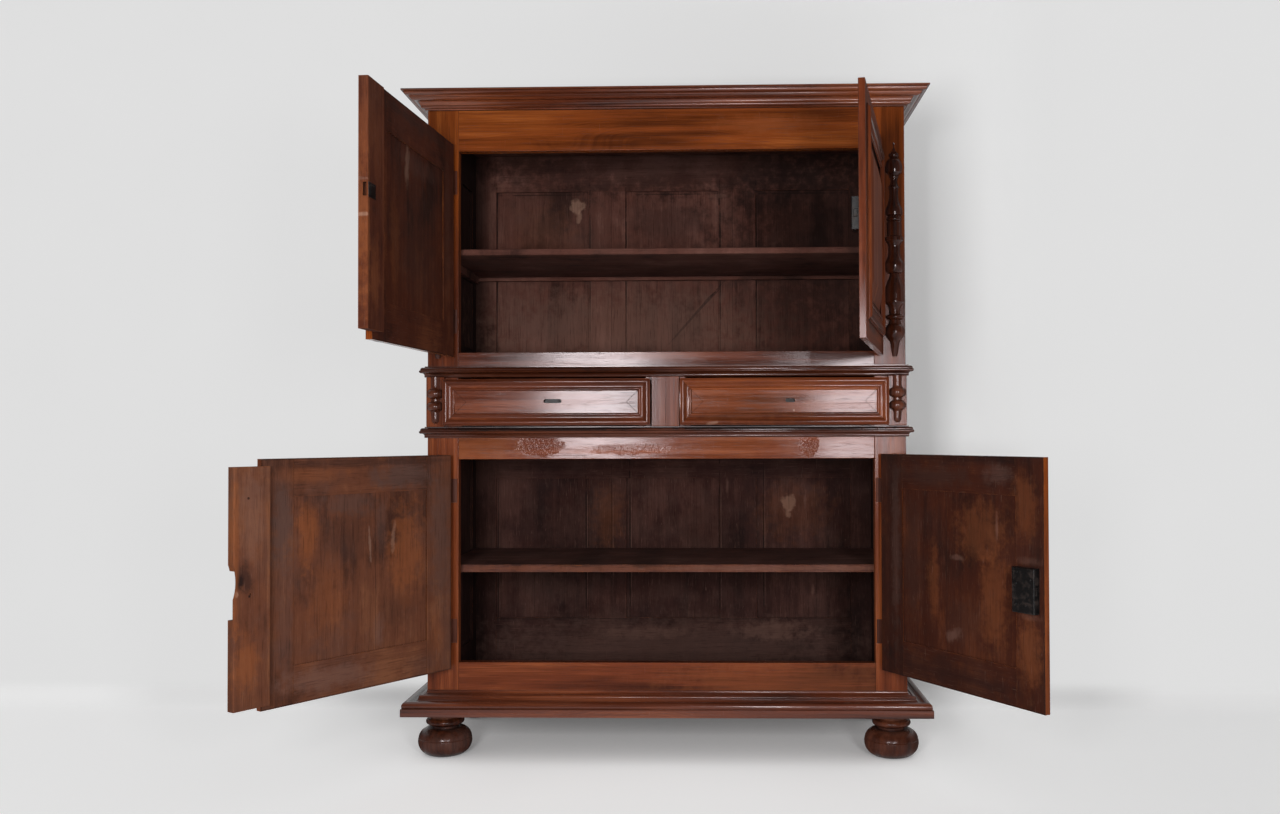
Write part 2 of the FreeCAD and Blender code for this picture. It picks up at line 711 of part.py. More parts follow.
def meeting_post(stage, free_edge, inner_y):
    """The left door's inner post: it laps behind the right door and is hollowed for its lock.

    The lower one is worn at its edge, and the upper one has an old catch hole in its edge.
    """
    low, high = door_levels(stage)
    z0 = low + door_overlap + post_end_clearance
    z1 = high - door_overlap - post_end_clearance
    x1 = free_edge + post_lap
    x0 = x1 - post_width
    post = block(x0, x1, inner_y, inner_y + post_thickness, z0, z1)
    post = post.cut(block(x0 - overrun, free_edge, inner_y - overrun, inner_y + post_front_clearance,
                          z0 - overrun, z1 + overrun))
    post = eased(post, post_round_radius, lambda c: abs(c.x - x0) < joint_clearance
                 and c.y > inner_y + post_thickness - joint_clearance)
    # Distances from the right door's free edge, seen from the left door's mirrored place
    right_free = door_meeting_gap / 2 + meeting_line_x
    lock_x = -(right_free + lock_setback) + lock_clearance
    z = lock_level(stage)
    width, height = lock_size(stage)
    half = height / 2 + lock_clearance
    pocket = block(lock_x - width - 2 * lock_clearance, lock_x, inner_y - overrun,
                   inner_y + post_thickness - post_skin, z - half, z + half)
    bolt_y = inner_y + (lock_depth - bolt_thickness) / 2 - bolt_mortise_clearance
    bolt_half = bolt_height / 2 + bolt_mortise_clearance
    reach = bolt_rest + bolt_throw - lock_clearance + bolt_mortise_clearance
    mortise = block(lock_x - overrun, lock_x + reach, bolt_y,
                    bolt_y + bolt_thickness + 2 * bolt_mortise_clearance, z - bolt_half, z + bolt_half)
    post = post.cut(pocket).cut(mortise)
    rear = inner_y + post_thickness
    if stage == "lower":
        wear_radius = ((post_wear_height / 2) ** 2 + post_wear_depth ** 2) / (2 * post_wear_depth)
        wear = Part.makeCylinder(wear_radius, post_thickness + 2 * overrun,
                                 V(x0 + post_wear_depth - wear_radius, inner_y - overrun,
                                   z + post_wear_rise), V(0, 1, 0))
        pin_hole = Part.makeCylinder(post_pin_hole_radius, post_pin_hole_depth + overrun,
                                     V(x0 + post_pin_hole_inset, rear - post_pin_hole_depth, z),
                                     V(0, 1, 0))
        return post.cut(wear).cut(pin_hole)
    catch_y = rear - catch_hole_inset
    catch_z = z + catch_hole_rise
    return post.cut(block(x0 - overrun, x0 + catch_hole_depth, catch_y - catch_hole_width, catch_y,
                          catch_z - catch_hole_height / 2, catch_z + catch_hole_height / 2))


# Drawers, modelled closed and then pulled out by drawer_rest_pull
def drawer_span():
    """Inner and outer ends of the right drawer front along X."""
    return centre_block_width / 2 + drawer_front_gap, waist_block_inner - drawer_front_gap


def drawer_lock_middle(side):
    """Middle of a drawer's keyhole and lock along X, on the right; the left one is mirrored."""
    shift = left_keyhole_shift if side < 0 else right_keyhole_shift
    return sum(drawer_span()) / 2 + shift


def drawer_bolt_box(side, grow=0.0):
    """The bolt of a closed drawer, modelled on the right, or that box grown for its pocket."""
    x = drawer_lock_middle(side)
    half = drawer_bolt_width / 2 + grow
    y0 = front + drawer_bolt_front - grow
    z1 = drawer_top() - drawer_bolt_setback
    return block(x - half, x + half, y0, y0 + drawer_bolt_thickness + 2 * grow, z1 - drawer_bolt_length, z1)


def drawer_top():
    return drawer_level + drawer_front_gap + drawer_front_height


def keyhole_slot(x, z, y, length, depth):
    """A slot along X with round ends, cut along Y."""
    radius = drawer_keyhole_height / 2
    reach = length / 2 - radius
    slot = block(x - reach, x + reach, y, y + depth, z - radius, z + radius)
    for end in (x - reach, x + reach):
        slot = slot.fuse(Part.makeCylinder(radius, depth, V(end, y, z), V(0, 1, 0)))
    return slot.removeSplitter()


def build_drawer(side):
    inner, outer = drawer_span()
    face_y = front - drawer_front_clearance - drawer_front_thickness
    rear_y = front - drawer_front_clearance
    z0, z1 = drawer_level + drawer_front_gap, drawer_top()
    board = block(inner, outer, face_y, rear_y, z0, z1)
    middle = drawer_lock_middle(side)
    hole_z = z0 + drawer_front_height * drawer_keyhole_rise_share
    slot_length = left_keyhole_length if side < 0 else right_keyhole_length
    board = board.cut(keyhole_slot(middle, hole_z, face_y - overrun, slot_length,
                                   drawer_front_thickness + 2 * overrun))
    ring = ring_moulding(drawer_moulding_shares, drawer_moulding_width, drawer_moulding_height, inner, outer,
                         z0, z1, face_y)
    # Box between the muntin and the stile
    x0 = muntin_width / 2 + drawer_side_clearance
    x1 = opening_half - drawer_side_clearance
    t = drawer_side_thickness
    low = drawer_level + runner_clearance
    y1 = rear_y + drawer_depth
    bottom_z = low + drawer_bottom_rise
    bottom = block(x0 + t, x1 - t, rear_y, y1 - t, bottom_z, bottom_z + drawer_bottom_thickness)
    box = [block(x0, x0 + t, rear_y, y1, low, low + drawer_side_height),
           block(x1 - t, x1, rear_y, y1, low, low + drawer_side_height),
           block(x0 + t, x1 - t, y1 - t, y1, low, low + drawer_side_height),
           bottom]
    # Lock on the back of the front
    lock_z1 = z1 - drawer_lock_top_gap
    half_lock = drawer_lock_width / 2
    case = block(middle - half_lock, middle + half_lock, rear_y, rear_y + drawer_lock_depth,
                 lock_z1 - drawer_lock_height, lock_z1)
    bolt = drawer_bolt_box(side)
    channel = drawer_bolt_box(side, bolt_clearance)
    channel = channel.fuse(moved([channel], 0, 0, drawer_bolt_throw)[0])
    case = case.cut(channel)
    nodes = {"front": [board] + ring, "box": box, "lock": [case], "bolt": [bolt]}
    name = "left_drawer_" if side < 0 else "right_drawer_"
    for node, solids in nodes.items():
        placed = moved(solids, 0, -drawer_rest_pull, 0)
        save(name + node, *[mirrored(s) for s in placed] if side < 0 else placed)


def build_runners():
    """Runners under the drawer sides, with guides beside them, from the front rail to the back."""
    y0, y1 = frame_back, back_front
    z0 = drawer_level - runner_height + runner_clearance * 2
    top = drawer_level + guide_height
    half_muntin = muntin_width / 2
    runners = []
    for x0, x1 in ((opening_half - runner_width, opening_half), (half_muntin, half_muntin + runner_width)):
        runners += both_sides(block(x0, x1, y0, y1, z0, drawer_level))
    guides = both_sides(block(opening_half, inner_half, y0, y1, z0, top))
    guides.append(block(-half_muntin, half_muntin, y0, y1, z0, top))
    save("drawer_runners", *runners, *guides)


build_feet()
build_front_frame()
build_stage("lower", foot_height, stage_seam, (side_bottom_rail_height, side_top_rail_height),
            (back_bottom_rail_height, back_top_rail_height))
build_stage("upper", stage_seam, frieze_top, (side_bottom_rail_height, upper_side_top_rail_height),
            (upper_back_bottom_rail_height, upper_back_top_rail_height))
build_boards()
build_shelves()
build_mouldings()
build_spindles()
build_case_hinges()
build_door("upper", -1, upper_left_open_angle)
build_door("upper", 1, upper_right_open_angle)
build_door("lower", -1, lower_left_open_angle)
build_door("lower", 1, lower_right_open_angle)
build_drawer(-1)
build_drawer(1)
build_runners()
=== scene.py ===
"""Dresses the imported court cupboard: stained oak, iron, wear, and the small worn pieces on it.

The solids of the cupboard stay as they come, except the lower shelf, whose worn front edge is
modelled here. Nail heads and an iron keep are added. Each wooden piece gets eased edges and a
finish whose grain runs along its own boards. All lengths are in metres, and Z is up.
"""
import json
import math

import bmesh
import bpy
from mathutils import Matrix, Vector


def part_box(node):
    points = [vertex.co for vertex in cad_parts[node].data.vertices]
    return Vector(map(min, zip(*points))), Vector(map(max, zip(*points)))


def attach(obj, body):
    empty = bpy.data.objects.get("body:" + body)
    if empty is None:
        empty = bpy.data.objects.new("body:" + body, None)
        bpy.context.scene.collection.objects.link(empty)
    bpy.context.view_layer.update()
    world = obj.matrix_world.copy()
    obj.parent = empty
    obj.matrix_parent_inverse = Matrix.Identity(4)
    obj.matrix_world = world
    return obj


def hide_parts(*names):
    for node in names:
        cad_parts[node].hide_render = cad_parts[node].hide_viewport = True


bl_info = {
    "name": "Court Cupboard Finish",
    "version": (1, 1, 0),
    "blender": (4, 5, 0),
    "location": "View3D > Sidebar > Cupboard",
    "description": "Finishes the court cupboard: polished oak, dark insides, iron locks and wear",
    "category": "Object",
}

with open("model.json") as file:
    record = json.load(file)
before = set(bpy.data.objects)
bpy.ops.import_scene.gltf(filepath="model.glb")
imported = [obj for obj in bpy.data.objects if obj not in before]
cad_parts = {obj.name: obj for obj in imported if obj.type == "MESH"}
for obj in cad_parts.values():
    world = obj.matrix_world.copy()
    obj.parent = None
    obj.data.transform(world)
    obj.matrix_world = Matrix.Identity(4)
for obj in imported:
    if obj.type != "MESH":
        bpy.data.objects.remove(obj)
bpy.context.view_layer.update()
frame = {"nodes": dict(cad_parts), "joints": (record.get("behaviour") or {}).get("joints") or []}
nodes = frame["nodes"]

# Places that more than one piece uses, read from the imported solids
CASE_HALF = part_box("lower_front_stiles")[1].x
FRONT_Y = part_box("lower_front_stiles")[0].y
FRAME_BACK_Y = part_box("lower_front_stiles")[1].y
BACK_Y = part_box("upper_back_frame")[1].y
SIDE_THICKNESS = 0.025
DOOR_THICKNESS = 0.016
IRON_EDGE = 0.0006
DOOR_STILE = 0.09
DOOR_RAIL = 0.094
RING_WIDTH = 0.052
RING_MARGIN = 0.046
DRAWER_RING = 0.034
OUTER_SKIN = 0.0008
PANEL_SEAM = 0.269
DOORS = ("upper_left", "upper_right", "lower_left", "lower_right")
DRAWERS = ("left_drawer", "right_drawer")
TONE_STEPS = ("dark", "middle", "light")
ACROSS, UPRIGHT = 0.0, 1.0

# How strongly each effect shows in the colour of the oak; pairs are for outer and inner faces
STREAK_SHADES = ((0.8, 0.93), (1.14, 1.05))
PORE_SHADES = (0.3, 0.38)
SCRATCH_SHADE = 0.3
JOINT_SHADE = 0.75
RIM_SHADE = 0.65

# Roughness: from a clear to a cloudy place, then what each effect adds
CLOUD_ROUGHNESS = 0.04
MATT_ROUGHNESS = (0.82, 1.0)
FLANK_ROUGHNESS = 0.85
ADDED_ROUGHNESS = {"scratches": 0.1, "hollow": 0.2, "streaks": 0.07, "pores": 0.1, "dust": 0.3}
GLOSS_TINT = (1.0, 0.9, 0.93, 1.0)

# Relief of the oak: how far it rises, and the share of each effect
RELIEF = 0.0009
STREAK_RELIEF, PORE_RELIEF, JOINT_RELIEF = 0.045, 0.06, 1.2


def tone(name, rgb):
    return bpy.props.FloatVectorProperty(
        name=name, description=name + " tone of the oak", default=rgb, size=3, min=0.0, max=1.0,
        subtype="COLOR")


def amount(name, description, default, low, high, **more):
    return bpy.props.FloatProperty(
        name=name, description=description, default=default, min=low, max=high, **more)


def share(name, description, value):
    return amount(name, description, value, 0.0, 1.0, subtype="FACTOR")


class OakFinish(bpy.types.PropertyGroup):
    """Colours and wear of the oak: each stain has a dark, a middle and a light tone."""

    honey_dark: tone("Honey, dark", (0.075, 0.016, 0.003))
    honey_middle: tone("Honey, middle", (0.172, 0.0375, 0.0066))
    honey_light: tone("Honey, light", (0.285, 0.076, 0.014))
    chestnut_dark: tone("Chestnut, dark", (0.04, 0.01, 0.0048))
    chestnut_middle: tone("Chestnut, middle", (0.104, 0.0235, 0.0088))
    chestnut_light: tone("Chestnut, light", (0.19, 0.05, 0.0185))
    russet_dark: tone("Russet, dark", (0.056, 0.0115, 0.0034))
    russet_middle: tone("Russet, middle", (0.14, 0.03, 0.0092))
    russet_light: tone("Russet, light", (0.235, 0.062, 0.019))
    umber_dark: tone("Umber, dark", (0.014, 0.0042, 0.0026))
    umber_middle: tone("Umber, middle", (0.056, 0.013, 0.0052))
    umber_light: tone("Umber, light", (0.105, 0.031, 0.0155))
    inside_dark: tone("Inside, dark", (0.028, 0.011, 0.0084))
    inside_middle: tone("Inside, middle", (0.096, 0.036, 0.0262))
    inside_light: tone("Inside, light", (0.16, 0.07, 0.054))
    cellar_dark: tone("Lower inside, dark", (0.014, 0.006, 0.0052))
    cellar_middle: tone("Lower inside, middle", (0.033, 0.0125, 0.01))
    cellar_light: tone("Lower inside, light", (0.064, 0.0265, 0.0205))
    worn_dark: tone("Worn door back, dark", (0.044, 0.0152, 0.0085))
    worn_middle: tone("Worn door back, middle", (0.116, 0.039, 0.0195))
    worn_light: tone("Worn door back, light", (0.178, 0.066, 0.031))
    brown_dark: tone("Brown door back, dark", (0.018, 0.005, 0.0026))
    brown_middle: tone("Brown door back, middle", (0.044, 0.0098, 0.0038))
    brown_light: tone("Brown door back, light", (0.088, 0.0225, 0.0075))
    dim_dark: tone("Dim door back, dark", (0.024, 0.0066, 0.0032))
    dim_middle: tone("Dim door back, middle", (0.07, 0.0165, 0.0068))
    dim_light: tone("Dim door back, light", (0.125, 0.035, 0.0135))
    grey_wear: tone("Grey wear", (0.083, 0.044, 0.035))
    orange_wear: tone("Orange wear", (0.215, 0.064, 0.021))
    dark_wear: tone("Dark stain", (0.04, 0.0165, 0.0115))
    pink_wear: tone("Dusty wear", (0.165, 0.085, 0.064))
    pale_wear: tone("Pale scuff", (0.33, 0.19, 0.135))
    # The black tone gives dark joints and seams, and also painted shade: in hollows, in the case's inner
    # corners, on the mouldings' side faces, and the painted shadows under the drawers, beside the muntin and
    # inside the upper case
    black_wear: tone("Black hollow", (0.012, 0.006, 0.005))
    edge_wear: share("Edge wear", "How far the edges are rubbed through to lighter wood", 0.5)
    eased_edge: amount(
        "Eased edge", "Width of the worn round on wooden edges", 0.0016, 0.0002, 0.004, unit="LENGTH")


class IronFinish(bpy.types.PropertyGroup):
    """Colours of the locks and hinges."""

    black: tone("Black iron", (0.007, 0.0065, 0.0068))
    bare: tone("Bare iron", (0.26, 0.24, 0.23))
    rust: tone("Rust", (0.045, 0.018, 0.009))


class StudioStage(bpy.types.PropertyGroup):
    """The room that the cupboard is shown in."""

    paper: amount("Paper", "How pale the floor and the backdrop look", 0.735, 0.0, 1.0)
    left_shade: share("Left shade", "How much of a shadow the backdrop takes at the left", 0.12)
    right_shade: share("Right shade", "How much of a shadow the backdrop takes at the right", 0.85)
    wall_gap: amount("Wall gap", "From the cupboard's back to the backdrop", 0.12, 0.05, 3.0, unit="LENGTH")
    left_power: amount("Left lamp", "Power of the left soft lamp", 60.0, 0.0, 2000.0, unit="POWER")
    right_power: amount("Right lamp", "Power of the right soft lamp", 42.0, 0.0, 2000.0, unit="POWER")
    fill: amount("Fill", "Strength of the light from all round", 0.22, 0.0, 3.0)
    studio_dark: amount("Studio front", "How pale the room looks in front of the cupboard", 0.15, 0.0, 1.0)


def of_two(operation):
    """A wiring method that works one sum on two values."""
    return lambda self, a, b: self.math(operation, a, b)


class Wiring:
    """Adds nodes to one node tree and joins their sockets."""

    def __init__(self, tree):
        self.tree = tree

    def join(self, value, socket):
        if isinstance(value, bpy.types.NodeSocket):
            self.tree.links.new(value, socket)
        elif value is not None:
            socket.default_value = value

    def add(self, kind, inputs=(), out=0, **settings):
        """A node with its settings and inputs; gives the output socket asked for."""
        made = self.tree.nodes.new("ShaderNode" + kind)
        for name, value in settings.items():
            setattr(made, name, value)
        for name, value in dict(inputs).items():
            self.join(value, made.inputs[name])
        return made.outputs[out]

    def math(self, operation, a, b=None):
        values = {k: v for k, v in enumerate((a, b)) if v is not None}
        return self.add("Math", values, operation=operation)

    plus, minus, times, over = map(of_two, ("ADD", "SUBTRACT", "MULTIPLY", "DIVIDE"))
    above, below, most, least = map(of_two, ("GREATER_THAN", "LESS_THAN", "MAXIMUM", "MINIMUM"))

    def size(self, a):
        return self.math("ABSOLUTE", a)

    def other(self, a):
        return self.math("SUBTRACT", 1.0, a)

    def split(self, vector):
        return self.add("SeparateXYZ", {0: vector}).node.outputs

    def gather(self, x, y, z):
        return self.add("CombineXYZ", {0: x, 1: y, 2: z})

    def vector(self, operation, a, b=None, out=0):
        values = {k: v for k, v in enumerate((a, b)) if v is not None}
        return self.add("VectorMath", values, out=out, operation=operation)

    def stretch(self, vector, scale):
        return self.vector("MULTIPLY", vector, scale)

    def noise(self, vector, scale, detail=2.0, roughness=0.5, distortion=0.0):
        return self.add("TexNoise", {"Vector": vector, "Scale": scale, "Detail": detail,
                                     "Roughness": roughness, "Distortion": distortion})

    def ramp(self, value, low, high):
        """0 at low and 1 at high, smooth between them."""
        return self.add("MapRange", {"Value": value, "From Min": low, "From Max": high},
                        interpolation_type="SMOOTHSTEP")

    def mix(self, kind, values, first, out, **settings):
        """A mix of one kind of value; its inputs and its output are picked by their numbers."""
        node = self.add("Mix", data_type=kind, **settings).node
        for value, place in zip(values, (0, first, first + 1)):
            self.join(value, node.inputs[place])
        return node.outputs[out]

    def blend(self, factor, a, b, blend_type="MIX"):
        return self.mix("RGBA", (factor, a, b), 6, 2, blend_type=blend_type)

    def slide(self, factor, a, b):
        return self.mix("FLOAT", (factor, a, b), 2, 0)

    def choice(self, factor, a, b):
        return self.mix("VECTOR", (factor, a, b), 4, 1)

    def group(self, tree, inputs):
        node = self.tree.nodes.new("ShaderNodeGroup")
        node.node_tree = tree
        for name, value in inputs.items():
            self.join(value, node.inputs[name])
        return node.outputs


def colour(rgb):
    return (*rgb, 1.0)


def new_group(name, inputs, outputs):
    """A shader node group; an input is given by its own value or by the name of its kind."""
    tree = bpy.data.node_groups.new(name, "ShaderNodeTree")
    for label, given in inputs.items():
        kind = given if isinstance(given, str) else "Float" if isinstance(given, float) else "Vector"
        socket = tree.interface.new_socket(label, in_out="INPUT", socket_type="NodeSocket" + kind)
        if kind != given:
            socket.default_value = given
    for label in outputs:
        kind = {"Color": "Color", "Grain Position": "Vector"}.get(label, "Float")
        tree.interface.new_socket(label, in_out="OUTPUT", socket_type="NodeSocket" + kind)
    source = tree.nodes.new("NodeGroupInput")
    target = tree.nodes.new("NodeGroupOutput")
    return Wiring(tree), source.outputs, target.inputs


def joined_boards():
    """Finds which way the grain runs at a place on joined boards, which board it is, and the joints."""
    w, given, result = new_group(
        "Joined Boards",
        {"Position": "Vector", "Half Width": 1.0, "Half Height": 1.0, "Stile Width": 0.1, "Low Rail": 0.1,
         "High Rail": 0.1, "Mitred": 0.0, "Upright Field": 1.0, "Board Pitch": 1.0, "Board Start": 0.0,
         "Joint Width": 0.0007},
        ("Grain Position", "Board", "Joint"))
    x, y, z = w.split(given["Position"])
    past_end = w.minus(w.size(x), given["Half Width"])
    past_top = w.minus(w.size(z), given["Half Height"])
    past_stile = w.plus(past_end, given["Stile Width"])
    end = w.above(past_stile, 0.0)
    low = w.below(z, w.minus(given["Low Rail"], given["Half Height"]))
    high = w.above(z, w.minus(given["Half Height"], given["High Rail"]))
    rail = w.most(low, high)
    upright_field = w.times(w.times(w.other(rail), w.other(end)), given["Upright Field"])
    framed = w.most(end, upright_field)
    past_mitre = w.minus(past_end, past_top)
    mitred = w.most(w.times(end, w.above(past_mitre, 0.0)), upright_field)
    upright = w.slide(given["Mitred"], framed, mitred)

    place = w.over(w.minus(x, given["Board Start"]), given["Board Pitch"])
    along = w.minus(place, w.math("FLOOR", place))
    to_seam = w.times(w.least(along, w.other(along)), given["Board Pitch"])
    upright_board = w.slide(end, w.plus(w.math("FLOOR", place), 20.0), w.plus(w.math("SIGN", x), 10.0))
    across_board = w.plus(w.plus(high, w.times(low, 2.0)), 5.0)
    w.join(w.slide(upright, across_board, upright_board), result["Board"])
    w.join(w.choice(upright, given["Position"], w.gather(z, y, x)), result["Grain Position"])

    to_shoulder = w.plus(w.size(past_stile), w.times(w.other(rail), 9.0))
    to_mitre = w.times(w.size(past_mitre), 0.7)
    to_joint = w.slide(given["Mitred"], to_shoulder, to_mitre)
    to_joint = w.least(to_joint, w.plus(to_seam, w.times(w.other(upright_field), 9.0)))
    w.join(w.other(w.ramp(to_joint, w.times(given["Joint Width"], 0.3), given["Joint Width"])),
           result["Joint"])
    return w.tree


def oak_figure():
    """The marks of oak: slow changes of tone, streaks, growth rings and pores."""
    w, given, result = new_group(
        "Oak Figure", {"Grain Position": "Vector", "Board": 0.0, "Seed": 0.0}, ("Value", "Streaks", "Pores"))
    number = w.plus(given["Board"], w.times(given["Seed"], 3.7))
    place = w.vector("ADD", given["Grain Position"], w.gather(w.times(number, 0.73), 0.0, 0.0))
    x, y, z = w.split(place)
    board_tone = w.add("TexWhiteNoise", {"W": number}, noise_dimensions="1D")
    heart_y = w.plus(w.times(w.math("SINE", w.times(number, 12.9)), 0.05), 0.07)
    heart_z = w.times(w.math("COSINE", w.times(number, 7.7)), 0.1)
    sway = w.noise(w.stretch(place, (1.3, 5.0, 5.0)), 1.0, 2.0)
    off_y, off_z = w.minus(y, heart_y), w.minus(z, heart_z)
    radius = w.math("SQRT", w.plus(w.times(off_y, off_y), w.times(off_z, off_z)))
    radius = w.plus(radius, w.times(sway, 0.09))
    rings = w.add("TexNoise", {"W": w.times(radius, 120.0), "Detail": 2.0}, noise_dimensions="1D")
    rings = w.ramp(rings, 0.3, 0.72)
    streaks = w.noise(w.stretch(place, (1.7, 52.0, 52.0)), 1.0, 5.0, 0.62)
    streaks = w.ramp(streaks, 0.3, 0.72)
    tone_noise = w.noise(w.stretch(place, (1.5, 7.0, 7.0)), 1.0, 3.0, 0.55)
    clouds = w.ramp(tone_noise, 0.28, 0.72)
    pores = w.noise(w.stretch(place, (18.0, 420.0, 420.0)), 1.0, 2.0)
    value = w.plus(w.plus(w.times(clouds, 0.44), w.times(streaks, 0.27)),
                   w.plus(w.times(rings, 0.11), w.times(board_tone, 0.18)))
    w.join(value, result["Value"])
    w.join(streaks, result["Streaks"])
    w.join(w.ramp(pores, 0.54, 0.72), result["Pores"])
    return w.tree


def three_tones():
    """A stain's colour for a value of the grain, from its dark, middle and light tones."""
    w, given, result = new_group(
        "Three Tones", {"Value": 0.5, "Dark": "Color", "Middle": "Color", "Light": "Color"}, ("Color",))
    first = w.blend(w.ramp(given["Value"], 0.16, 0.5), given["Dark"], given["Middle"])
    w.join(w.blend(w.ramp(given["Value"], 0.5, 0.84), first, given["Light"]), result["Color"])
    return w.tree


def edges_and_hollows():
    """Masks of the rubbed edges and of the hollows; the hollows are darkened both as gathered dirt and as
    painted shade.
    """
    w, given, result = new_group(
        "Edges And Hollows", {"Position": "Vector", "Edge Width": 0.003, "Hollow Width": 0.02},
        ("Edge", "Hollow"))
    rounded = w.add("Bevel", {"Radius": given["Edge Width"]}, samples=4)
    flat = w.add("NewGeometry", out="Normal")
    agree = w.vector("DOT_PRODUCT", rounded, flat, out="Value")
    hollow = w.add("AmbientOcclusion", {"Distance": given["Hollow Width"]}, out="AO", samples=6)
    dirt_and_shade = w.ramp(w.other(hollow), 0.25, 0.85)
    patchy = w.ramp(w.noise(given["Position"], 34.0, 4.0, 0.65), 0.36, 0.66)
    turned_edge = w.times(w.ramp(w.other(agree), 0.01, 0.16), w.other(dirt_and_shade))
    w.join(w.times(turned_edge, patchy), result["Edge"])
    w.join(dirt_and_shade, result["Hollow"])
    return w.tree


def old_varnish():
    """The cloudy gloss, fine scratches and ripples of an old polish, wrinkled where it is crazed."""
    w, given, result = new_group(
        "Old Varnish", {"Position": "Vector", "Grain Position": "Vector", "Crazed": 0.0},
        ("Cloud", "Scratches", "Ripple"))
    w.join(w.ramp(w.noise(given["Position"], 6.5, 4.0, 0.62), 0.3, 0.72), result["Cloud"])
    long_marks = w.noise(w.stretch(given["Grain Position"], (22.0, 620.0, 620.0)), 1.0, 1.0, 0.5, 0.4)
    cross_marks = w.noise(w.stretch(given["Position"], (380.0, 380.0, 30.0)), 1.0, 1.0, 0.5, 0.8)
    marks = w.most(w.ramp(long_marks, 0.66, 0.74), w.ramp(cross_marks, 0.7, 0.76))
    w.join(marks, result["Scratches"])
    fine = w.noise(w.stretch(given["Grain Position"], (14.0, 130.0, 130.0)), 1.0, 3.0)
    broad = w.noise(w.stretch(given["Grain Position"], (5.0, 22.0, 22.0)), 1.0, 2.0)
    wrinkle = w.noise(w.stretch(given["Position"], (150.0, 150.0, 95.0)), 1.0, 2.0, 0.5, 1.2)
    smooth = w.plus(w.times(fine, 0.35), w.times(broad, 0.6))
    w.join(w.plus(smooth, w.times(wrinkle, w.times(given["Crazed"], 9.0))), result["Ripple"])
    return w.tree


def settled_dust():
    """Dust on what faces up, thicker in patches."""
    w, given, result = new_group("Settled Dust", {"Position": "Vector", "Amount": 0.5}, ("Dust",))
    up = w.split(w.add("NewGeometry", out="Normal"))[2]
    patchy = w.ramp(w.noise(given["Position"], 9.0, 5.0, 0.6), 0.3, 0.75)
    w.join(w.times(w.times(w.ramp(up, 0.5, 0.95), patchy), given["Amount"]), result["Dust"])
    return w.tree


def case_inside():
    """1 on the faces inside the case and on its back, 0 on its front, sides and edges."""
    w, given, result = new_group(
        "Inner Faces", {"Position": "Vector", "Half Width": 0.65, "Frame Back": -0.26}, ("Inside",))
    x, y, z = w.split(given["Position"])
    w.join(w.times(w.below(w.size(x), given["Half Width"]), w.above(y, given["Frame Back"])),
           result["Inside"])
    return w.tree


def soft_patch():
    """A ragged patch round a place, such as a scuff, a stain or a rubbed spot."""
    w, given, result = new_group(
        "Soft Patch",
        {"Position": "Vector", "At": "Vector", "Size": (1.0, 1.0, 1.0), "Turn": "Vector", "Tear": 0.0,
         "Softness": 0.5},
        ("Patch",))
    inside = w.add("Mapping", {"Vector": given["Position"], "Location": given["At"],
                               "Rotation": given["Turn"], "Scale": given["Size"]},
                   vector_type="TEXTURE")
    away = w.plus(w.vector("LENGTH", inside, out="Value"), given["Tear"])
    start = w.other(given["Softness"])
    w.join(w.other(w.ramp(away, start, w.plus(w.times(given["Softness"], 0.4), 1.0))), result["Patch"])
    return w.tree


def lamp_on_paper():
    """How much light a small soft lamp throws on the paper where nothing is in the way."""
    w, given, result = new_group(
        "Lamp On Paper",
        {"Position": "Vector", "Normal": "Vector", "Lamp": "Vector", "Aim": "Vector", "Power": 1.0},
        ("Light",))
    reach = w.vector("SUBTRACT", given["Lamp"], given["Position"])
    far = w.vector("LENGTH", reach, out="Value")
    towards = w.vector("NORMALIZE", reach)
    leaving = w.math("MULTIPLY", w.vector("DOT_PRODUCT", towards, given["Aim"], out="Value"), -1.0)
    landing = w.vector("DOT_PRODUCT", towards, given["Normal"], out="Value")
    both = w.times(w.most(leaving, 0.0), w.most(landing, 0.0))
    light = w.over(w.times(both, given["Power"]), w.times(w.times(far, far), math.pi ** 2))
    w.join(light, result["Light"])
    return w.tree


def build_groups():
    makers = (joined_boards, oak_figure, three_tones, edges_and_hollows, old_varnish, settled_dust,
              case_inside, soft_patch, lamp_on_paper)
    return {tree.name: tree for tree in (maker() for maker in makers)}


def new_material(name):
    material = bpy.data.materials.new(name)
    material.use_nodes = True
    tree = material.node_tree
    tree.nodes.clear()
    shader = tree.nodes.new("ShaderNodeBsdfPrincipled")
    output = tree.nodes.new("ShaderNodeOutputMaterial")
    tree.links.new(shader.outputs[0], output.inputs[0])
    return material, Wiring(tree), shader


def own_position(w, layout):
    """Object coordinates brought to a piece's own middle and turn; plan swaps up and back."""
    here = w.add("TexCoord", out="Object")
    local = w.add("Mapping", {"Vector": here, "Location": layout["place"],
                              "Rotation": (0.0, 0.0, layout.get("turn", 0.0))}, vector_type="TEXTURE")
    if layout.get("plan"):
        x, y, z = w.split(local)
        local = w.gather(x, z, y)
    return here, local


def stain(w, groups, value, name):
    finish = bpy.context.scene.oak_finish
    tones = {step.title(): colour(getattr(finish, name + "_" + step)) for step in TONE_STEPS}
    return w.group(groups["Three Tones"], dict(tones, Value=value))["Color"]


def flat_normal(w, turn):
    """The shading normal, taken from the face itself where the face lies flat along a board."""
    geometry = w.add("NewGeometry").node.outputs
    own = w.add("VectorTransform", {0: geometry["True Normal"]}, vector_type="NORMAL",
                convert_from="WORLD", convert_to="OBJECT")
    own = w.add("VectorRotate", {"Vector": own, "Angle": -turn}, rotation_type="Z_AXIS")
    x, y, z = w.split(w.vector("ABSOLUTE", own))
    flat = w.above(w.most(x, w.most(y, z)), 0.9999)
    return w.choice(flat, geometry["Normal"], geometry["True Normal"])


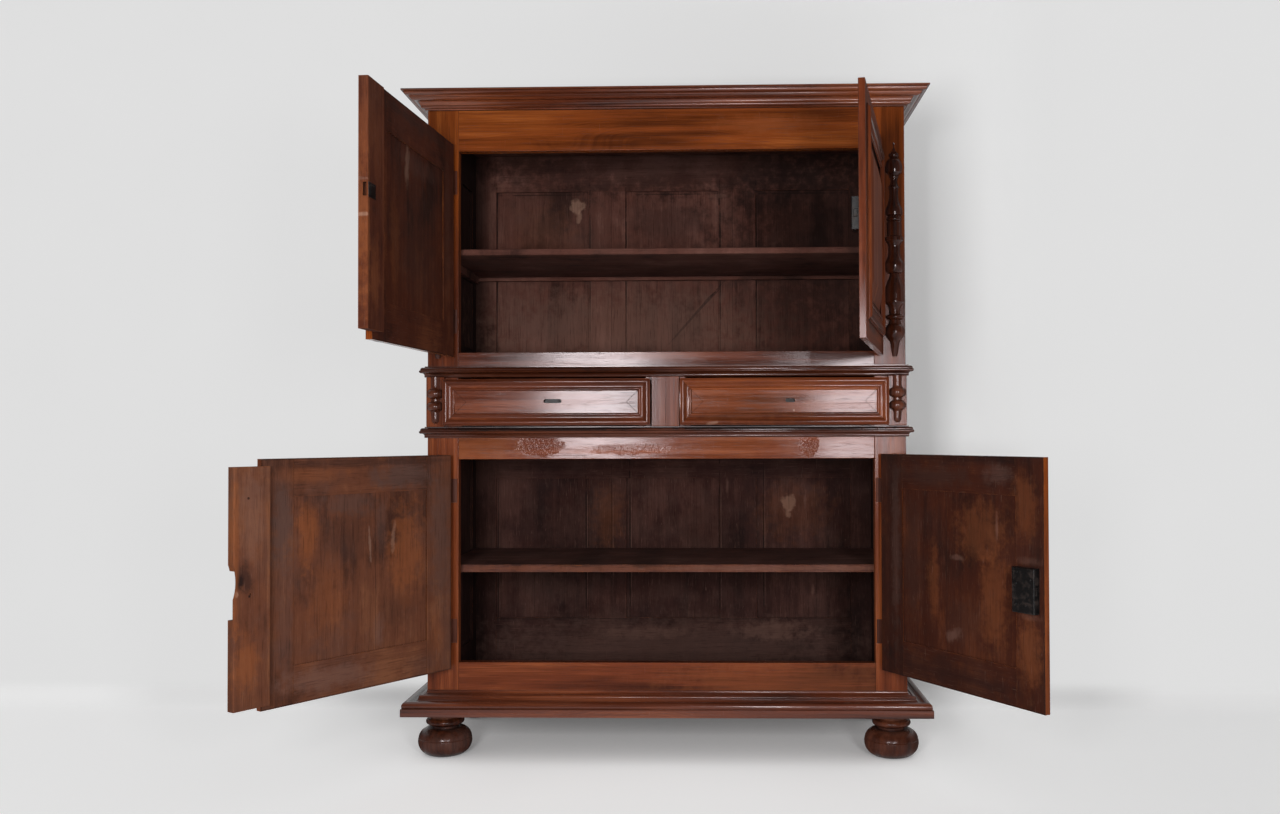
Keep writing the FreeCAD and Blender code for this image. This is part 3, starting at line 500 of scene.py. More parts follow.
def patch_at(w, groups, position, tear, mark):
    """The mask of one mark: (tone, across, up, half width, half height, strength, softness, turn)."""
    across, up, wide, high, strength = mark[1:6]
    softness, turn = mark[6:] + (0.7, 0.0)[len(mark[6:]):]
    mask = w.group(groups["Soft Patch"], {
        "Position": position, "At": (across, 0.0, up), "Size": (wide, 1000.0, high),
        "Turn": (0.0, math.radians(turn), 0.0), "Tear": tear, "Softness": softness})["Patch"]
    return w.times(mask, strength)


def oak(name, groups, layout, look):
    """Oak material for one piece: layout says how its boards lie, look says how it is finished."""
    finish = bpy.context.scene.oak_finish
    material, w, shader = new_material(name)

    def wash(mask, under, tone_name):
        return w.blend(mask, under, colour(getattr(finish, tone_name)))

    def marked(under, position, marks):
        for mark in marks:
            under = wash(patch_at(w, groups, position, tear, mark), under, mark[0] + "_wear")
        return under

    here, local = own_position(w, layout)
    half_width, half_height = layout["half"]
    joined = w.group(groups["Joined Boards"], {
        "Position": local, "Half Width": half_width, "Half Height": half_height,
        "Stile Width": layout.get("stile", 0.0), "Low Rail": layout.get("low", 0.0),
        "High Rail": layout.get("high", layout.get("low", 0.0)), "Mitred": layout.get("mitred", 0.0),
        "Upright Field": layout.get("upright", 0.0), "Board Pitch": layout.get("pitch", 1.3),
        "Board Start": layout.get("start", 0.0)})
    along_grain = joined["Grain Position"]
    figure = w.group(groups["Oak Figure"], {
        "Grain Position": along_grain, "Board": joined["Board"], "Seed": look["seed"]})
    # worn gives the rubbed edges and the hollows; the hollows darken as dirt and as painted shade
    worn = w.group(groups["Edges And Hollows"], {"Position": here, "Hollow Width": look.get("hollow", 0.02)})
    tear = w.times(w.minus(w.noise(local, 34.0, 5.0, 0.66), 0.5), 2.2)
    crazed = 0.0
    for mark in look.get("crazed", ()):
        crazed = w.most(crazed, patch_at(w, groups, here, tear, ("",) + mark))
    varnish = w.group(groups["Old Varnish"], {
        "Position": here, "Grain Position": along_grain, "Crazed": crazed})
    dust = w.group(groups["Settled Dust"], {"Position": here, "Amount": look.get("dust", 0.15)})["Dust"]
    value, edge = figure["Value"], look.get("edge", look["stain"])

    surface, inside = stain(w, groups, value, look["stain"]), 0.0
    if "fade" in look:
        other_stain, low, high = look["fade"]
        height = w.plus(w.split(here)[2], w.times(tear, 0.03))
        surface = w.blend(w.ramp(height, low, high), surface, stain(w, groups, value, other_stain))
    if "inner" in look:
        if look.get("all_inner"):
            inside = 1.0
        elif "inner_face" in layout:
            depth = w.split(local)[1]
            inside = w.above(depth, layout["inner_face"])
            surface = w.blend(w.above(depth, OUTER_SKIN), surface, stain(w, groups, value, edge))
        else:
            inside = w.group(groups["Inner Faces"], {
                "Position": here, "Half Width": CASE_HALF - SIDE_THICKNESS / 2,
                "Frame Back": FRAME_BACK_Y - 0.001})["Inside"]
        patchy = w.ramp(w.noise(w.stretch(local, (5.5, 5.5, 3.6)), 1.0, 7.0, 0.7), 0.3, 0.7)
        inner = stain(w, groups, w.slide(0.45, value, patchy), look["inner"])
        smudges = w.ramp(w.noise(here, 7.0, 5.0, 0.64), 0.42, 0.68)
        inner = wash(w.times(smudges, look.get("smudge", 0.3)), inner, "grey_wear")
        inner = marked(inner, local, look.get("inner_marks", ()))
        inner = wash(w.times(varnish["Scratches"], SCRATCH_SHADE), inner, "pink_wear")
        # Painted shade: the inner faces darken towards the case's sides, in the inside corners
        if "deep" in look:
            far_side = w.ramp(w.size(w.split(here)[0]), 0.575, 0.66)
            inner = wash(w.times(far_side, look["deep"]), inner, "black_wear")
        # The door backs darken in a narrow, ragged band along their edges
        if "rim" in layout:
            across, _, up = w.split(local)
            to_edge = w.least(w.minus(half_width, w.size(across)), w.minus(half_height, w.size(up)))
            off_rim = w.ramp(w.plus(to_edge, w.times(tear, 0.002)), 0.001, layout["rim"])
            inner = wash(w.times(w.other(off_rim), RIM_SHADE), inner, "black_wear")
        surface = w.blend(inside, surface, inner)
    surface = marked(surface, here, look.get("marks", ()))

    shade = w.slide(figure["Streaks"], *(w.slide(inside, *pair) for pair in STREAK_SHADES))
    surface = w.blend(1.0, surface, w.gather(shade, shade, shade), "MULTIPLY")
    surface = wash(w.times(figure["Pores"], w.slide(inside, *PORE_SHADES)), surface, "umber_dark")
    surface = w.blend(w.times(worn["Edge"], finish.edge_wear), surface, stain(w, groups, 1.0, edge))
    # Painted shade and dirt: the hollows darken towards black
    surface = wash(w.times(worn["Hollow"], look.get("grime_and_shade", 0.62)), surface, "black_wear")
    surface = wash(w.times(joined["Joint"], JOINT_SHADE), surface, "black_wear")
    surface = wash(dust, surface, "pink_wear")
    # Painted shade: faces turned to the sides, such as the mouldings' returns, take a darker colour
    facing = w.split(w.vector("ABSOLUTE", w.add("TexCoord", out="Normal")))[0]
    flank = w.ramp(facing, 0.45, 0.8)
    surface = wash(w.times(flank, look.get("shaded_flank", 0.0)), surface, "black_wear")
    w.join(surface, shader.inputs["Base Color"])

    sheen = look.get("sheen", 0.1)
    gloss = w.slide(varnish["Cloud"], sheen, sheen + CLOUD_ROUGHNESS)
    for mask, effect in ((varnish["Scratches"], "scratches"), (worn["Hollow"], "hollow"),
                         (figure["Streaks"], "streaks"), (figure["Pores"], "pores")):
        gloss = w.plus(gloss, w.times(mask, ADDED_ROUGHNESS[effect]))
    gloss = w.slide(flank, gloss, FLANK_ROUGHNESS)
    gloss = w.slide(inside, gloss, w.slide(varnish["Cloud"], *MATT_ROUGHNESS))
    w.join(w.plus(gloss, w.times(dust, ADDED_ROUGHNESS["dust"])), shader.inputs["Roughness"])
    shader.inputs["Specular IOR Level"].default_value = look.get("level", 0.15)
    shader.inputs["Specular Tint"].default_value = GLOSS_TINT
    raised = w.plus(w.times(varnish["Ripple"], look.get("ripple", 0.5)),
                    w.times(figure["Streaks"], STREAK_RELIEF))
    sunk = w.plus(w.times(figure["Pores"], PORE_RELIEF), w.times(joined["Joint"], JOINT_RELIEF))
    w.join(w.add("Bump", {"Strength": 0.35, "Distance": RELIEF, "Height": w.minus(raised, sunk),
                          "Normal": flat_normal(w, layout.get("turn", 0.0))}), shader.inputs["Normal"])
    return material


def iron(groups):
    """Blackened iron with rust in patches and bright edges."""
    finish = bpy.context.scene.iron_finish
    material, w, shader = new_material("Black Iron")
    here = w.add("TexCoord", out="Object")
    worn = w.group(groups["Edges And Hollows"], {"Position": here, "Edge Width": 0.0012,
                                                 "Hollow Width": 0.006})
    rusty = w.ramp(w.noise(here, 60.0, 6.0, 0.7), 0.48, 0.66)
    surface = w.blend(w.times(rusty, 0.3), colour(finish.black), colour(finish.rust))
    surface = w.blend(w.times(worn["Edge"], 0.45), surface, colour(finish.bare))
    w.join(surface, shader.inputs["Base Color"])
    w.join(w.slide(rusty, 0.6, 0.2), shader.inputs["Metallic"])
    w.join(w.slide(rusty, 0.4, 0.72), shader.inputs["Roughness"])
    pitted = w.plus(w.noise(here, 260.0, 4.0), w.noise(here, 45.0, 2.0))
    w.join(w.add("Bump", {"Strength": 0.5, "Distance": 0.0006, "Height": pitted}), shader.inputs["Normal"])
    return material


def middle(node):
    low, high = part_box(node)
    return (low + high) / 2


def joint(name):
    return next(j for j in frame["joints"] if j["name"] == name)


def door_turn(door):
    """The door's angle about Z at rest, and the place on its hinge line."""
    hinge = joint(door + "_door_hinge")
    turn = -math.radians(hinge["range_deg"][0]) * hinge["axis"][2]
    return turn, Vector(hinge["pos_m"])


def from_hinge(door):
    """1 where a door's own x grows away from its hinge, -1 where it falls."""
    return 1.0 if door.endswith("left") else -1.0


def door_layout(door, **more):
    """Board layout in the closed door's own axes, from its hinge line at the door's middle height."""
    turn, hinge = door_turn(door)
    side = from_hinge(door)
    back = Matrix.Rotation(-turn, 3, "Z")
    reach = [(back @ (v.co - hinge)).x * side for v in nodes[door + "_frame"].data.vertices]
    half_height = (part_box(door + "_frame")[1].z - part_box(door + "_frame")[0].z) / 2
    centre = side * (min(reach) + max(reach)) / 2
    layout = {"place": hinge + back.inverted() @ Vector((centre, 0.0, 0.0)), "turn": turn,
              "half": ((max(reach) - min(reach)) / 2, half_height), "centre": centre}
    layout.update(more)
    return layout


def door_marks(door, layout, rows):
    """Marks given by their distance from the hinge, brought to the door's own axes."""
    side = from_hinge(door)
    return tuple((row[0], side * row[1] - layout["centre"]) + row[2:7]
                 + tuple(-side * turn for turn in row[7:]) for row in rows)


def dress(piece, material):
    piece.data.materials.clear()
    piece.data.materials.append(material)


def ease(piece, width, angle=30.0):
    """Joins the node's loose triangles and rounds its edges, as modifiers on the kept solid."""
    weld = piece.modifiers.new("Joined faces", "WELD")
    weld.merge_threshold = 0.00002
    round_over = piece.modifiers.new("Eased edges", "BEVEL")
    round_over.width = width
    round_over.segments = 2
    round_over.limit_method = "ANGLE"
    round_over.angle_limit = math.radians(angle)
    round_over.use_clamp_overlap = True
    round_over.face_strength_mode = "FSTR_ALL"
    even = piece.modifiers.new("Even shading", "WEIGHTED_NORMAL")
    even.keep_sharp = False
    even.use_face_influence = True


def straight(node, upright, **more):
    return dict({"place": middle(node), "half": (9.0, 9.0), "upright": upright}, **more)


def case_run(node):
    """Layout of a moulding that runs round the front and both sides of the case."""
    return {"place": (0.0, 0.0, middle(node).z), "plan": True, "half": (CASE_HALF, -FRONT_Y),
            "stile": 9.0, "mitred": 1.0}


def frame_layout(node, turn, stile, low, high, **more):
    """Layout of a framed side or back; its middle is taken across its own width."""
    bottom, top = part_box(node)
    along = (top - bottom).y if turn else (top - bottom).x
    place = (0.0, (bottom.y + top.y) / 2 if turn else 0.0, (bottom.z + top.z) / 2)
    return dict({"place": place, "turn": math.pi / 2 if turn else 0.0,
                 "half": (along / 2, (top.z - bottom.z) / 2), "stile": stile, "low": low,
                 "high": high, "upright": 1.0}, **more)


def seam(x, low, high, strength=0.9):
    """A dark joint between two boards with a paler rubbed edge beside it."""
    height, half = (low + high) / 2, (high - low) / 2 * 1.15
    return (("black", x, height, 0.0024, half, strength, 0.3),
            ("pink", x + 0.0042, height, 0.0018, half * 0.8, strength * 0.35, 0.5))


def seams(places, low, high):
    return sum((seam(x, low, high) for x in places), ())


# Marks, painted shadows and painted shade on the polished front and the case: tone, across, up,
# half width, half height, strength, softness, turn in degrees
WAIST_SHADOWS = (("black", -0.331, 0.93, 0.33, 0.0052, 0.92, 0.25),
                 ("black", 0.331, 0.93, 0.33, 0.0052, 0.92, 0.25))
LOWER_BACK_MARKS = (
    *seams((-0.286, -0.141, 0.155, 0.299), 0.309, 0.8), *seam(-0.2005, 0.4, 0.8),
    *seam(-0.577, 0.2, 0.8, 0.6), ("black", 0.0, 0.3075, 0.62, 0.0024, 0.65, 0.3),
    ("orange", -0.205, 0.66, 0.05, 0.12, 0.12), ("pale", 0.379, 0.685, 0.024, 0.03, 0.42, 0.4),
    ("pale", 0.379, 0.652, 0.01, 0.014, 0.38, 0.5), ("orange", 0.4, 0.66, 0.13, 0.1, 0.16),
    ("grey", 0.0, 0.215, 0.78, 0.11, 0.55, 0.7), ("pink", 0.33, 0.27, 0.12, 0.035, 0.35),
    ("pink", -0.1, 0.26, 0.16, 0.02, 0.25), ("pink", 0.18, 0.74, 0.006, 0.03, 0.25),
    ("pink", 0.435, 0.69, 0.005, 0.035, 0.25), ("grey", -0.43, 0.42, 0.09, 0.09, 0.3),
    ("orange", -0.22, 0.62, 0.06, 0.1, 0.1), ("dark", 0.1, 0.6, 0.07, 0.12, 0.35),
    ("pink", 0.46, 0.4, 0.006, 0.02, 0.3),
)
UPPER_BACK_MARKS_AND_SHADE = (
    *seams((-0.271, -0.152, 0.159, 0.278, -0.58), 1.18, 1.705), ("black", 0.0, 1.61, 0.16, 0.12, 0.35, 0.7),
    ("pink", -0.12, 1.25, 0.52, 0.11, 0.3, 0.7), ("black", -0.425, 1.708, 0.16, 0.0022, 0.6, 0.3),
    ("black", 0.004, 1.708, 0.16, 0.0022, 0.6, 0.3), ("black", 0.43, 1.708, 0.16, 0.0022, 0.6, 0.3),
    ("grey", -0.36, 1.6, 0.2, 0.1, 0.22), ("pale", -0.314, 1.668, 0.026, 0.024, 0.5, 0.3, 8.0),
    # Painted shade: the broad black patch that ends the next line is the shadow of the open right door on the
    # back, and the wide black band that starts the line after it is the shade under the top board
    ("pale", -0.308, 1.632, 0.009, 0.026, 0.42, 0.4, 14.0), ("black", 0.5, 1.57, 0.34, 0.4, 0.62),
    ("black", 0.0, 1.8, 0.8, 0.11, 0.62, 0.6), ("black", 0.087, 1.322, 0.0042, 0.142, 0.9, 0.3, 41.6),
    ("black", 0.13, 1.365, 0.003, 0.06, 0.6, 0.3, 44.0), ("orange", -0.42, 1.56, 0.12, 0.13, 0.12),
    ("pink", -0.2, 1.27, 0.55, 0.15, 0.34), ("grey", -0.43, 1.29, 0.13, 0.1, 0.28),
    ("grey", 0.02, 1.3, 0.13, 0.1, 0.18), ("pink", 0.15, 1.7, 0.035, 0.008, 0.3),
)
LOWER_RAIL_CRAZED = ((-0.352, 0.886, 0.052, 0.03, 1.0), (0.402, 0.884, 0.026, 0.026, 1.0),
                     (-0.1, 0.872, 0.1, 0.014, 0.35))
FRIEZE_MARKS = (("orange", 0.3, 1.79, 0.16, 0.03, 0.35), ("dark", -0.05, 1.726, 0.3, 0.006, 0.2))
BOTTOM_RAIL_MARKS = (("orange", 0.35, 0.2, 0.4, 0.1, 0.35),)
TOP_RAIL_MARKS = (("orange", -0.53, 0.885, 0.13, 0.05, 0.55), ("orange", 0.18, 0.885, 0.2, 0.05, 0.3))
# Painted shadow of the left drawer on the muntin's left side
MUNTIN_DRAWER_SHADOW = (("black", -0.0345, 1.005, 0.011, 0.075, 0.8, 0.4),)
FEET_MARKS = (("orange", -0.62, 0.116, 0.12, 0.016, 0.45), ("orange", 0.62, 0.116, 0.12, 0.016, 0.45),
              ("dark", 0.64, 0.05, 0.09, 0.04, 0.3), ("grey", -0.6, 0.05, 0.09, 0.03, 0.4))


def case_boards():
    """Every wooden node of the case with its board layout, or its boards' way, and its look."""
    honey, chestnut, russet = ({"stain": name, "inner": "inside"} for name in ("honey", "chestnut", "russet"))
    umber = {"stain": "umber", "inner": "inside", "level": 0.4, "grime_and_shade": 0.85, "hollow": 0.03,
             "shaded_flank": 0.5}
    turned = {"stain": "umber", "sheen": 0.11, "level": 0.35, "grime_and_shade": 0.75}
    lower = dict(chestnut, inner="cellar", sheen=0.13, deep=0.3)
    upper = dict(chestnut, sheen=0.13, deep=0.8)
    back = {"pitch": 0.4, "start": -0.2}
    rows = [
        ("frieze_rail", ACROSS, dict(honey, sheen=0.16, marks=FRIEZE_MARKS)),
        ("bottom_rail", ACROSS, dict(russet, sheen=0.12, marks=BOTTOM_RAIL_MARKS)),
        ("lower_top_rail", ACROSS, dict(russet, sheen=0.08, level=0.19, ripple=0.9,
                                        crazed=LOWER_RAIL_CRAZED, marks=TOP_RAIL_MARKS)),
        ("upper_bottom_rail", ACROSS, dict(chestnut, sheen=0.11, level=0.31)),
        ("lower_front_stiles", UPRIGHT, dict(russet, sheen=0.12)),
        ("upper_front_stiles", UPRIGHT, dict(chestnut, sheen=0.12, fade=("honey", 1.3, 1.62))),
        ("drawer_muntin", UPRIGHT, dict(chestnut, sheen=0.13, level=0.25, marks=MUNTIN_DRAWER_SHADOW)),
        ("waist_blocks", UPRIGHT, chestnut),
        ("base_moulding", case_run("base_moulding"), dict(umber, stain="chestnut", sheen=0.13, level=0.5)),
        ("waist_mouldings", case_run("waist_mouldings"), dict(umber, marks=WAIST_SHADOWS)),
        ("cornice", case_run("cornice"), dict(umber, stain="chestnut", sheen=0.14, level=0.6)),
        ("lower_side_frames", frame_layout("lower_side_frames", True, 0.078, 0.118, 0.172), lower),
        ("upper_side_frames", frame_layout("upper_side_frames", True, 0.078, 0.118, 0.13),
         dict(upper, inner="cellar")),
        ("lower_case_panels", straight("lower_case_panels", UPRIGHT, pitch=0.31, start=-0.459),
         dict(lower, marks=LOWER_BACK_MARKS)),
        ("upper_case_panels", UPRIGHT, dict(upper, marks=UPPER_BACK_MARKS_AND_SHADE)),
        ("lower_back_frame", frame_layout("lower_back_frame", False, 0.067, 0.18, 0.307, **back),
         dict(lower, all_inner=True, marks=LOWER_BACK_MARKS)),
        ("upper_back_frame", frame_layout("upper_back_frame", False, 0.067, 0.104, 0.119, **back),
         dict(upper, all_inner=True, marks=UPPER_BACK_MARKS_AND_SHADE)),
        ("stile_spindles", UPRIGHT, turned),
        ("waist_spindles", UPRIGHT, turned),
        ("bun_feet", UPRIGHT, dict(turned, sheen=0.16, level=0.22, ripple=1.6, marks=FEET_MARKS)),
    ]
    plain = ("bottom_board", "dust_board", "upper_floor_board", "top_board", "upper_shelf", "shelf_cleats",
             "drawer_runners")
    return rows + [(node, ACROSS, dict(chestnut, all_inner=True, dust=0.3)) for node in plain]


# Marks on the door backs, placed from the hinge and up from the door's middle
DOOR_BACK_MARKS = {
    "lower_left": (
        ("grey", 0.556, 0.133, 0.036, 0.115, 0.8), ("grey", 0.188, 0.248, 0.105, 0.042, 0.8),
        ("grey", 0.046, 0.05, 0.04, 0.2, 0.6), ("orange", 0.46, 0.258, 0.12, 0.022, 0.35),
        ("pink", 0.421, -0.252, 0.15, 0.034, 0.45), ("grey", 0.545, -0.12, 0.03, 0.11, 0.4),
        ("dark", 0.3, 0.285, 0.3, 0.012, 0.6), ("orange", 0.06, -0.2, 0.03, 0.09, 0.3)),
    "lower_right": (
        ("black", 0.05, 0.0, 0.06, 0.33, 0.42), ("grey", 0.068, 0.031, 0.02, 0.23, 0.4),
        ("dark", 0.228, 0.247, 0.14, 0.03, 0.7), ("black", 0.28, -0.262, 0.3, 0.05, 0.45),
        ("black", 0.3, 0.29, 0.32, 0.016, 0.4), ("orange", 0.557, -0.162, 0.042, 0.11, 0.42),
        ("pink", 0.552, 0.053, 0.042, 0.013, 0.26), ("pink", 0.56, -0.078, 0.034, 0.01, 0.22),
        ("grey", 0.455, 0.255, 0.05, 0.026, 0.5), ("orange", 0.545, 0.18, 0.05, 0.08, 0.3)),
    "upper_left": (
        ("orange", 0.57, -0.04, 0.042, 0.21, 0.4), ("dark", 0.3, 0.275, 0.26, 0.018, 0.6),
        ("grey", 0.06, 0.05, 0.03, 0.2, 0.25)),
    "upper_right": (("grey", 0.06, 0.03, 0.03, 0.2, 0.4), ("orange", 0.52, -0.1, 0.05, 0.12, 0.35)),
}
PANEL_BACK_MARKS = {
    "lower_left": (
        ("orange", 0.479, 0.11, 0.036, 0.085, 0.65), ("orange", 0.168, 0.04, 0.066, 0.14, 0.6),
        ("dark", 0.366, 0.1, 0.08, 0.08, 0.42), ("grey", 0.35, 0.182, 0.085, 0.034, 0.55),
        ("grey", 0.25, 0.12, 0.02, 0.09, 0.4), ("pale", 0.21, 0.083, 0.008, 0.036, 0.3, 0.6, 4.0),
        ("pale", 0.288, 0.075, 0.004, 0.045, 0.36, 0.5, -4.0), ("dark", 0.2, -0.11, 0.07, 0.045, 0.35),
        ("orange", 0.42, -0.06, 0.06, 0.12, 0.35), ("pink", 0.26, -0.16, 0.02, 0.05, 0.35)),
    "lower_right": (
        ("orange", 0.399, 0.11, 0.1, 0.08, 0.32), ("orange", 0.216, -0.028, 0.026, 0.1, 0.32),
        ("orange", 0.44, -0.05, 0.055, 0.14, 0.34), ("dark", 0.137, 0.01, 0.046, 0.2, 0.5),
        ("pink", 0.292, -0.16, 0.034, 0.016, 0.45, 0.6, 20.0), ("pink", 0.308, 0.039, 0.024, 0.008, 0.35),
        ("pink", 0.45, 0.125, 0.005, 0.04, 0.35), ("dark", 0.33, -0.12, 0.06, 0.07, 0.35)),
    "upper_left": (
        ("pale", 0.376, 0.155, 0.016, 0.055, 0.38, 0.6, 6.0), ("dark", 0.302, -0.02, 0.15, 0.15, 0.45),
        ("orange", 0.46, -0.05, 0.035, 0.14, 0.3), ("grey", 0.3, 0.17, 0.16, 0.03, 0.3)),
    "upper_right": (("dark", 0.3, 0.0, 0.16, 0.16, 0.45), ("orange", 0.46, 0.06, 0.04, 0.12, 0.35)),
}
POST_BACK_MARKS = {
    "lower_left": (
        ("pink", 0.655, 0.17, 0.036, 0.12, 0.34), ("dark", 0.676, 0.02, 0.03, 0.04, 0.8, 0.5),
        ("black", 0.684, 0.012, 0.012, 0.022, 0.85, 0.5), ("orange", 0.67, -0.177, 0.034, 0.085, 0.6),
        ("pale", 0.694, -0.012, 0.006, 0.01, 0.7, 0.5), ("orange", 0.697, 0.08, 0.01, 0.24, 0.6),
        ("black", 0.661, -0.019, 0.003, 0.004, 0.9, 0.4), ("black", 0.664, 0.209, 0.003, 0.003, 0.8, 0.4)),
    "upper_left": (
        ("orange", 0.697, -0.06, 0.01, 0.2, 0.6), ("pale", 0.703, -0.028, 0.006, 0.005, 0.5, 0.6),
        ("pink", 0.703, 0.052, 0.006, 0.004, 0.5, 0.6), ("black", 0.668, -0.01, 0.016, 0.01, 0.3, 0.7),
        ("orange", 0.66, -0.15, 0.03, 0.09, 0.4)),
}


def door_boards():
    looks = {"upper_left": ("dim", "honey", 0.12), "upper_right": ("dim", "chestnut", 0.15),
             "lower_left": ("worn", "honey", 0.38), "lower_right": ("brown", "honey", 0.1)}
    rows = []
    for door in DOORS:
        inner, edge, smudge = looks[door]
        look = {"stain": "russet", "inner": inner, "edge": edge, "smudge": smudge}
        layout = door_layout(door, stile=DOOR_STILE, low=DOOR_RAIL, inner_face=DOOR_THICKNESS - 0.0012,
                             rim=0.005)
        marks = door_marks(door, layout, DOOR_BACK_MARKS[door])
        rows.append((door + "_frame", layout, dict(look, inner_marks=marks)))
        layout = door_layout(door, upright=UPRIGHT, inner_face=0.01, pitch=0.3)
        layout["start"] = from_hinge(door) * PANEL_SEAM - layout["centre"]
        marks = door_marks(door, layout, PANEL_BACK_MARKS[door])
        rows.append((door + "_panel", layout, dict(look, inner_marks=marks)))
        ring = door_layout(door, mitred=1.0, stile=RING_WIDTH, low=RING_WIDTH, upright=UPRIGHT)
        ring["half"] = tuple(h - RING_MARGIN for h in ring["half"])
        stain_name = "russet" if door == "upper_right" else "umber"
        rows.append((door + "_mouldings", ring, {"stain": stain_name, "sheen": 0.12, "grime_and_shade": 0.8}))
        if door in POST_BACK_MARKS:
            layout = door_layout(door, upright=UPRIGHT, inner_face=DOOR_THICKNESS + 0.002)
            marks = door_marks(door, layout, POST_BACK_MARKS[door])
            rows.append((door + "_meeting_post", layout, dict(look, inner_marks=marks)))
    return rows


# Stain, sheen, specular level and marks of each drawer front
DRAWER_LOOKS = {
    "left_drawer": ("chestnut", 0.11, 0.23, (("black", -0.314, 1.007, 0.03, 0.009, 0.35),)),
    "right_drawer": ("russet", 0.08, 0.2, (
        ("pale", 0.132, 0.944, 0.018, 0.004, 0.55, 0.4, -10.0),
        ("pale", 0.358, 0.979, 0.004, 0.004, 0.8, 0.4),
        ("dark", 0.336, 1.01, 0.012, 0.01, 0.45), ("orange", 0.2, 1.0, 0.3, 0.06, 0.3))),
}


def drawer_boards():
    rows = []
    for drawer in DRAWERS:
        low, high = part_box(drawer + "_front")
        border = {"place": (low + high) / 2, "half": ((high - low).x / 2, (high - low).z / 2),
                  "mitred": 1.0, "stile": DRAWER_RING, "low": DRAWER_RING}
        stain_name, sheen, level, marks = DRAWER_LOOKS[drawer]
        rows.append((drawer + "_front", border, {"stain": stain_name, "sheen": sheen, "level": level,
                                                 "grime_and_shade": 0.85, "hollow": 0.014, "marks": marks}))
        rows.append((drawer + "_box", ACROSS, {"stain": "chestnut", "inner": "inside", "all_inner": True}))
    return rows


def finish_boards(rows, width):
    """Gives each node its own oak and eased edges; a bare layout says only which way its boards run."""
    for number, (node, layout, look) in enumerate(rows):
        layout = layout if isinstance(layout, dict) else straight(node, layout)
        look = dict(look, seed=float(number % 7) + len(node) * 0.31)
        material = oak(node + "_oak", state["groups"], layout, look)
        dress(nodes[node], material)
        ease(nodes[node], width)


state = {}


def pick(piece, rule, kind="verts"):
    """Selects only what the rule holds for, in edit mode."""
    mesh = bmesh.from_edit_mesh(piece.data)
    for item in list(mesh.faces) + list(mesh.edges) + list(mesh.verts):
        item.select_set(False)
    for item in filter(rule, getattr(mesh, kind)):
        item.select_set(True)
    mesh.select_flush_mode()
    bmesh.update_edit_mesh(piece.data)


def start_board(name, low, high):
    """A board between two corners, open for editing."""
    bpy.ops.object.select_all(action="DESELECT")
    bpy.ops.mesh.primitive_cube_add(size=1.0, location=(low + high) / 2, scale=high - low)
    piece = bpy.context.object
    piece.name = piece.data.name = name
    bpy.ops.object.transform_apply(location=True, rotation=True, scale=True)
    bpy.ops.object.mode_set(mode="EDIT")
    return piece


def end_piece(piece, body, material):
    bpy.ops.object.mode_set(mode="OBJECT")
    dress(piece, material)
    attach(piece, body)


# Worn places of the lower shelf's front edge: middle, half length, how far down, how far back
SHELF_WEAR = ((-0.24, 0.045, 0.0042, 0.003), (-0.085, 0.024, 0.0034, 0.004), (-0.045, 0.018, 0.0022, 0.0026),
              (-0.5, 0.06, 0.0012, 0.0008), (0.36, 0.11, 0.001, 0.0012), (0.05, 0.03, 0.0016, 0.001))
SHELF_CUTS = 159


def worn_at(x):
    """How far the shelf's front edge is worn down and back at a place along it."""
    down = 0.0004 * math.sin(19.0 * x) + 0.0003 * math.sin(61.0 * x + 1.0)
    back = 0.0005 * math.sin(13.0 * x + 2.0) + 0.0004 * math.sin(47.0 * x)
    for place, half, deep, far in SHELF_WEAR:
        share_left = max(0.0, 1.0 - abs(x - place) / half)
        smooth = share_left * share_left * (3.0 - 2.0 * share_left)
        down, back = down + deep * smooth, back + far * smooth
    return down, back


SHELF_BEVEL = 0.0022
NEAR = 0.001
SHELF_LOOK = {"stain": "honey", "inner": "inside", "seed": 4.3, "dust": 0.25, "marks": (
    ("orange", 0.0, 0.529, 0.7, 0.0095, 0.2, 0.3), ("pink", 0.3, 0.529, 0.4, 0.007, 0.3, 0.5),
    ("dark", -0.24, 0.5375, 0.05, 0.006, 0.6), ("dark", -0.07, 0.5375, 0.05, 0.006, 0.6))}


class CUPBOARD_OT_groups(bpy.types.Operator):
    """Builds the node groups that the finishes share"""
    bl_idname = "cupboard.groups"
    bl_label = "Shared Finish Groups"

    def execute(self, context):
        state["groups"] = build_groups()
        return {"FINISHED"}


class CUPBOARD_OT_case(bpy.types.Operator):
    """Finishes the case: frames, panels, mouldings, spindles, feet and boards"""
    bl_idname = "cupboard.case"
    bl_label = "Case"

    def execute(self, context):
        finish_boards(case_boards(), context.scene.oak_finish.eased_edge)
        return {"FINISHED"}


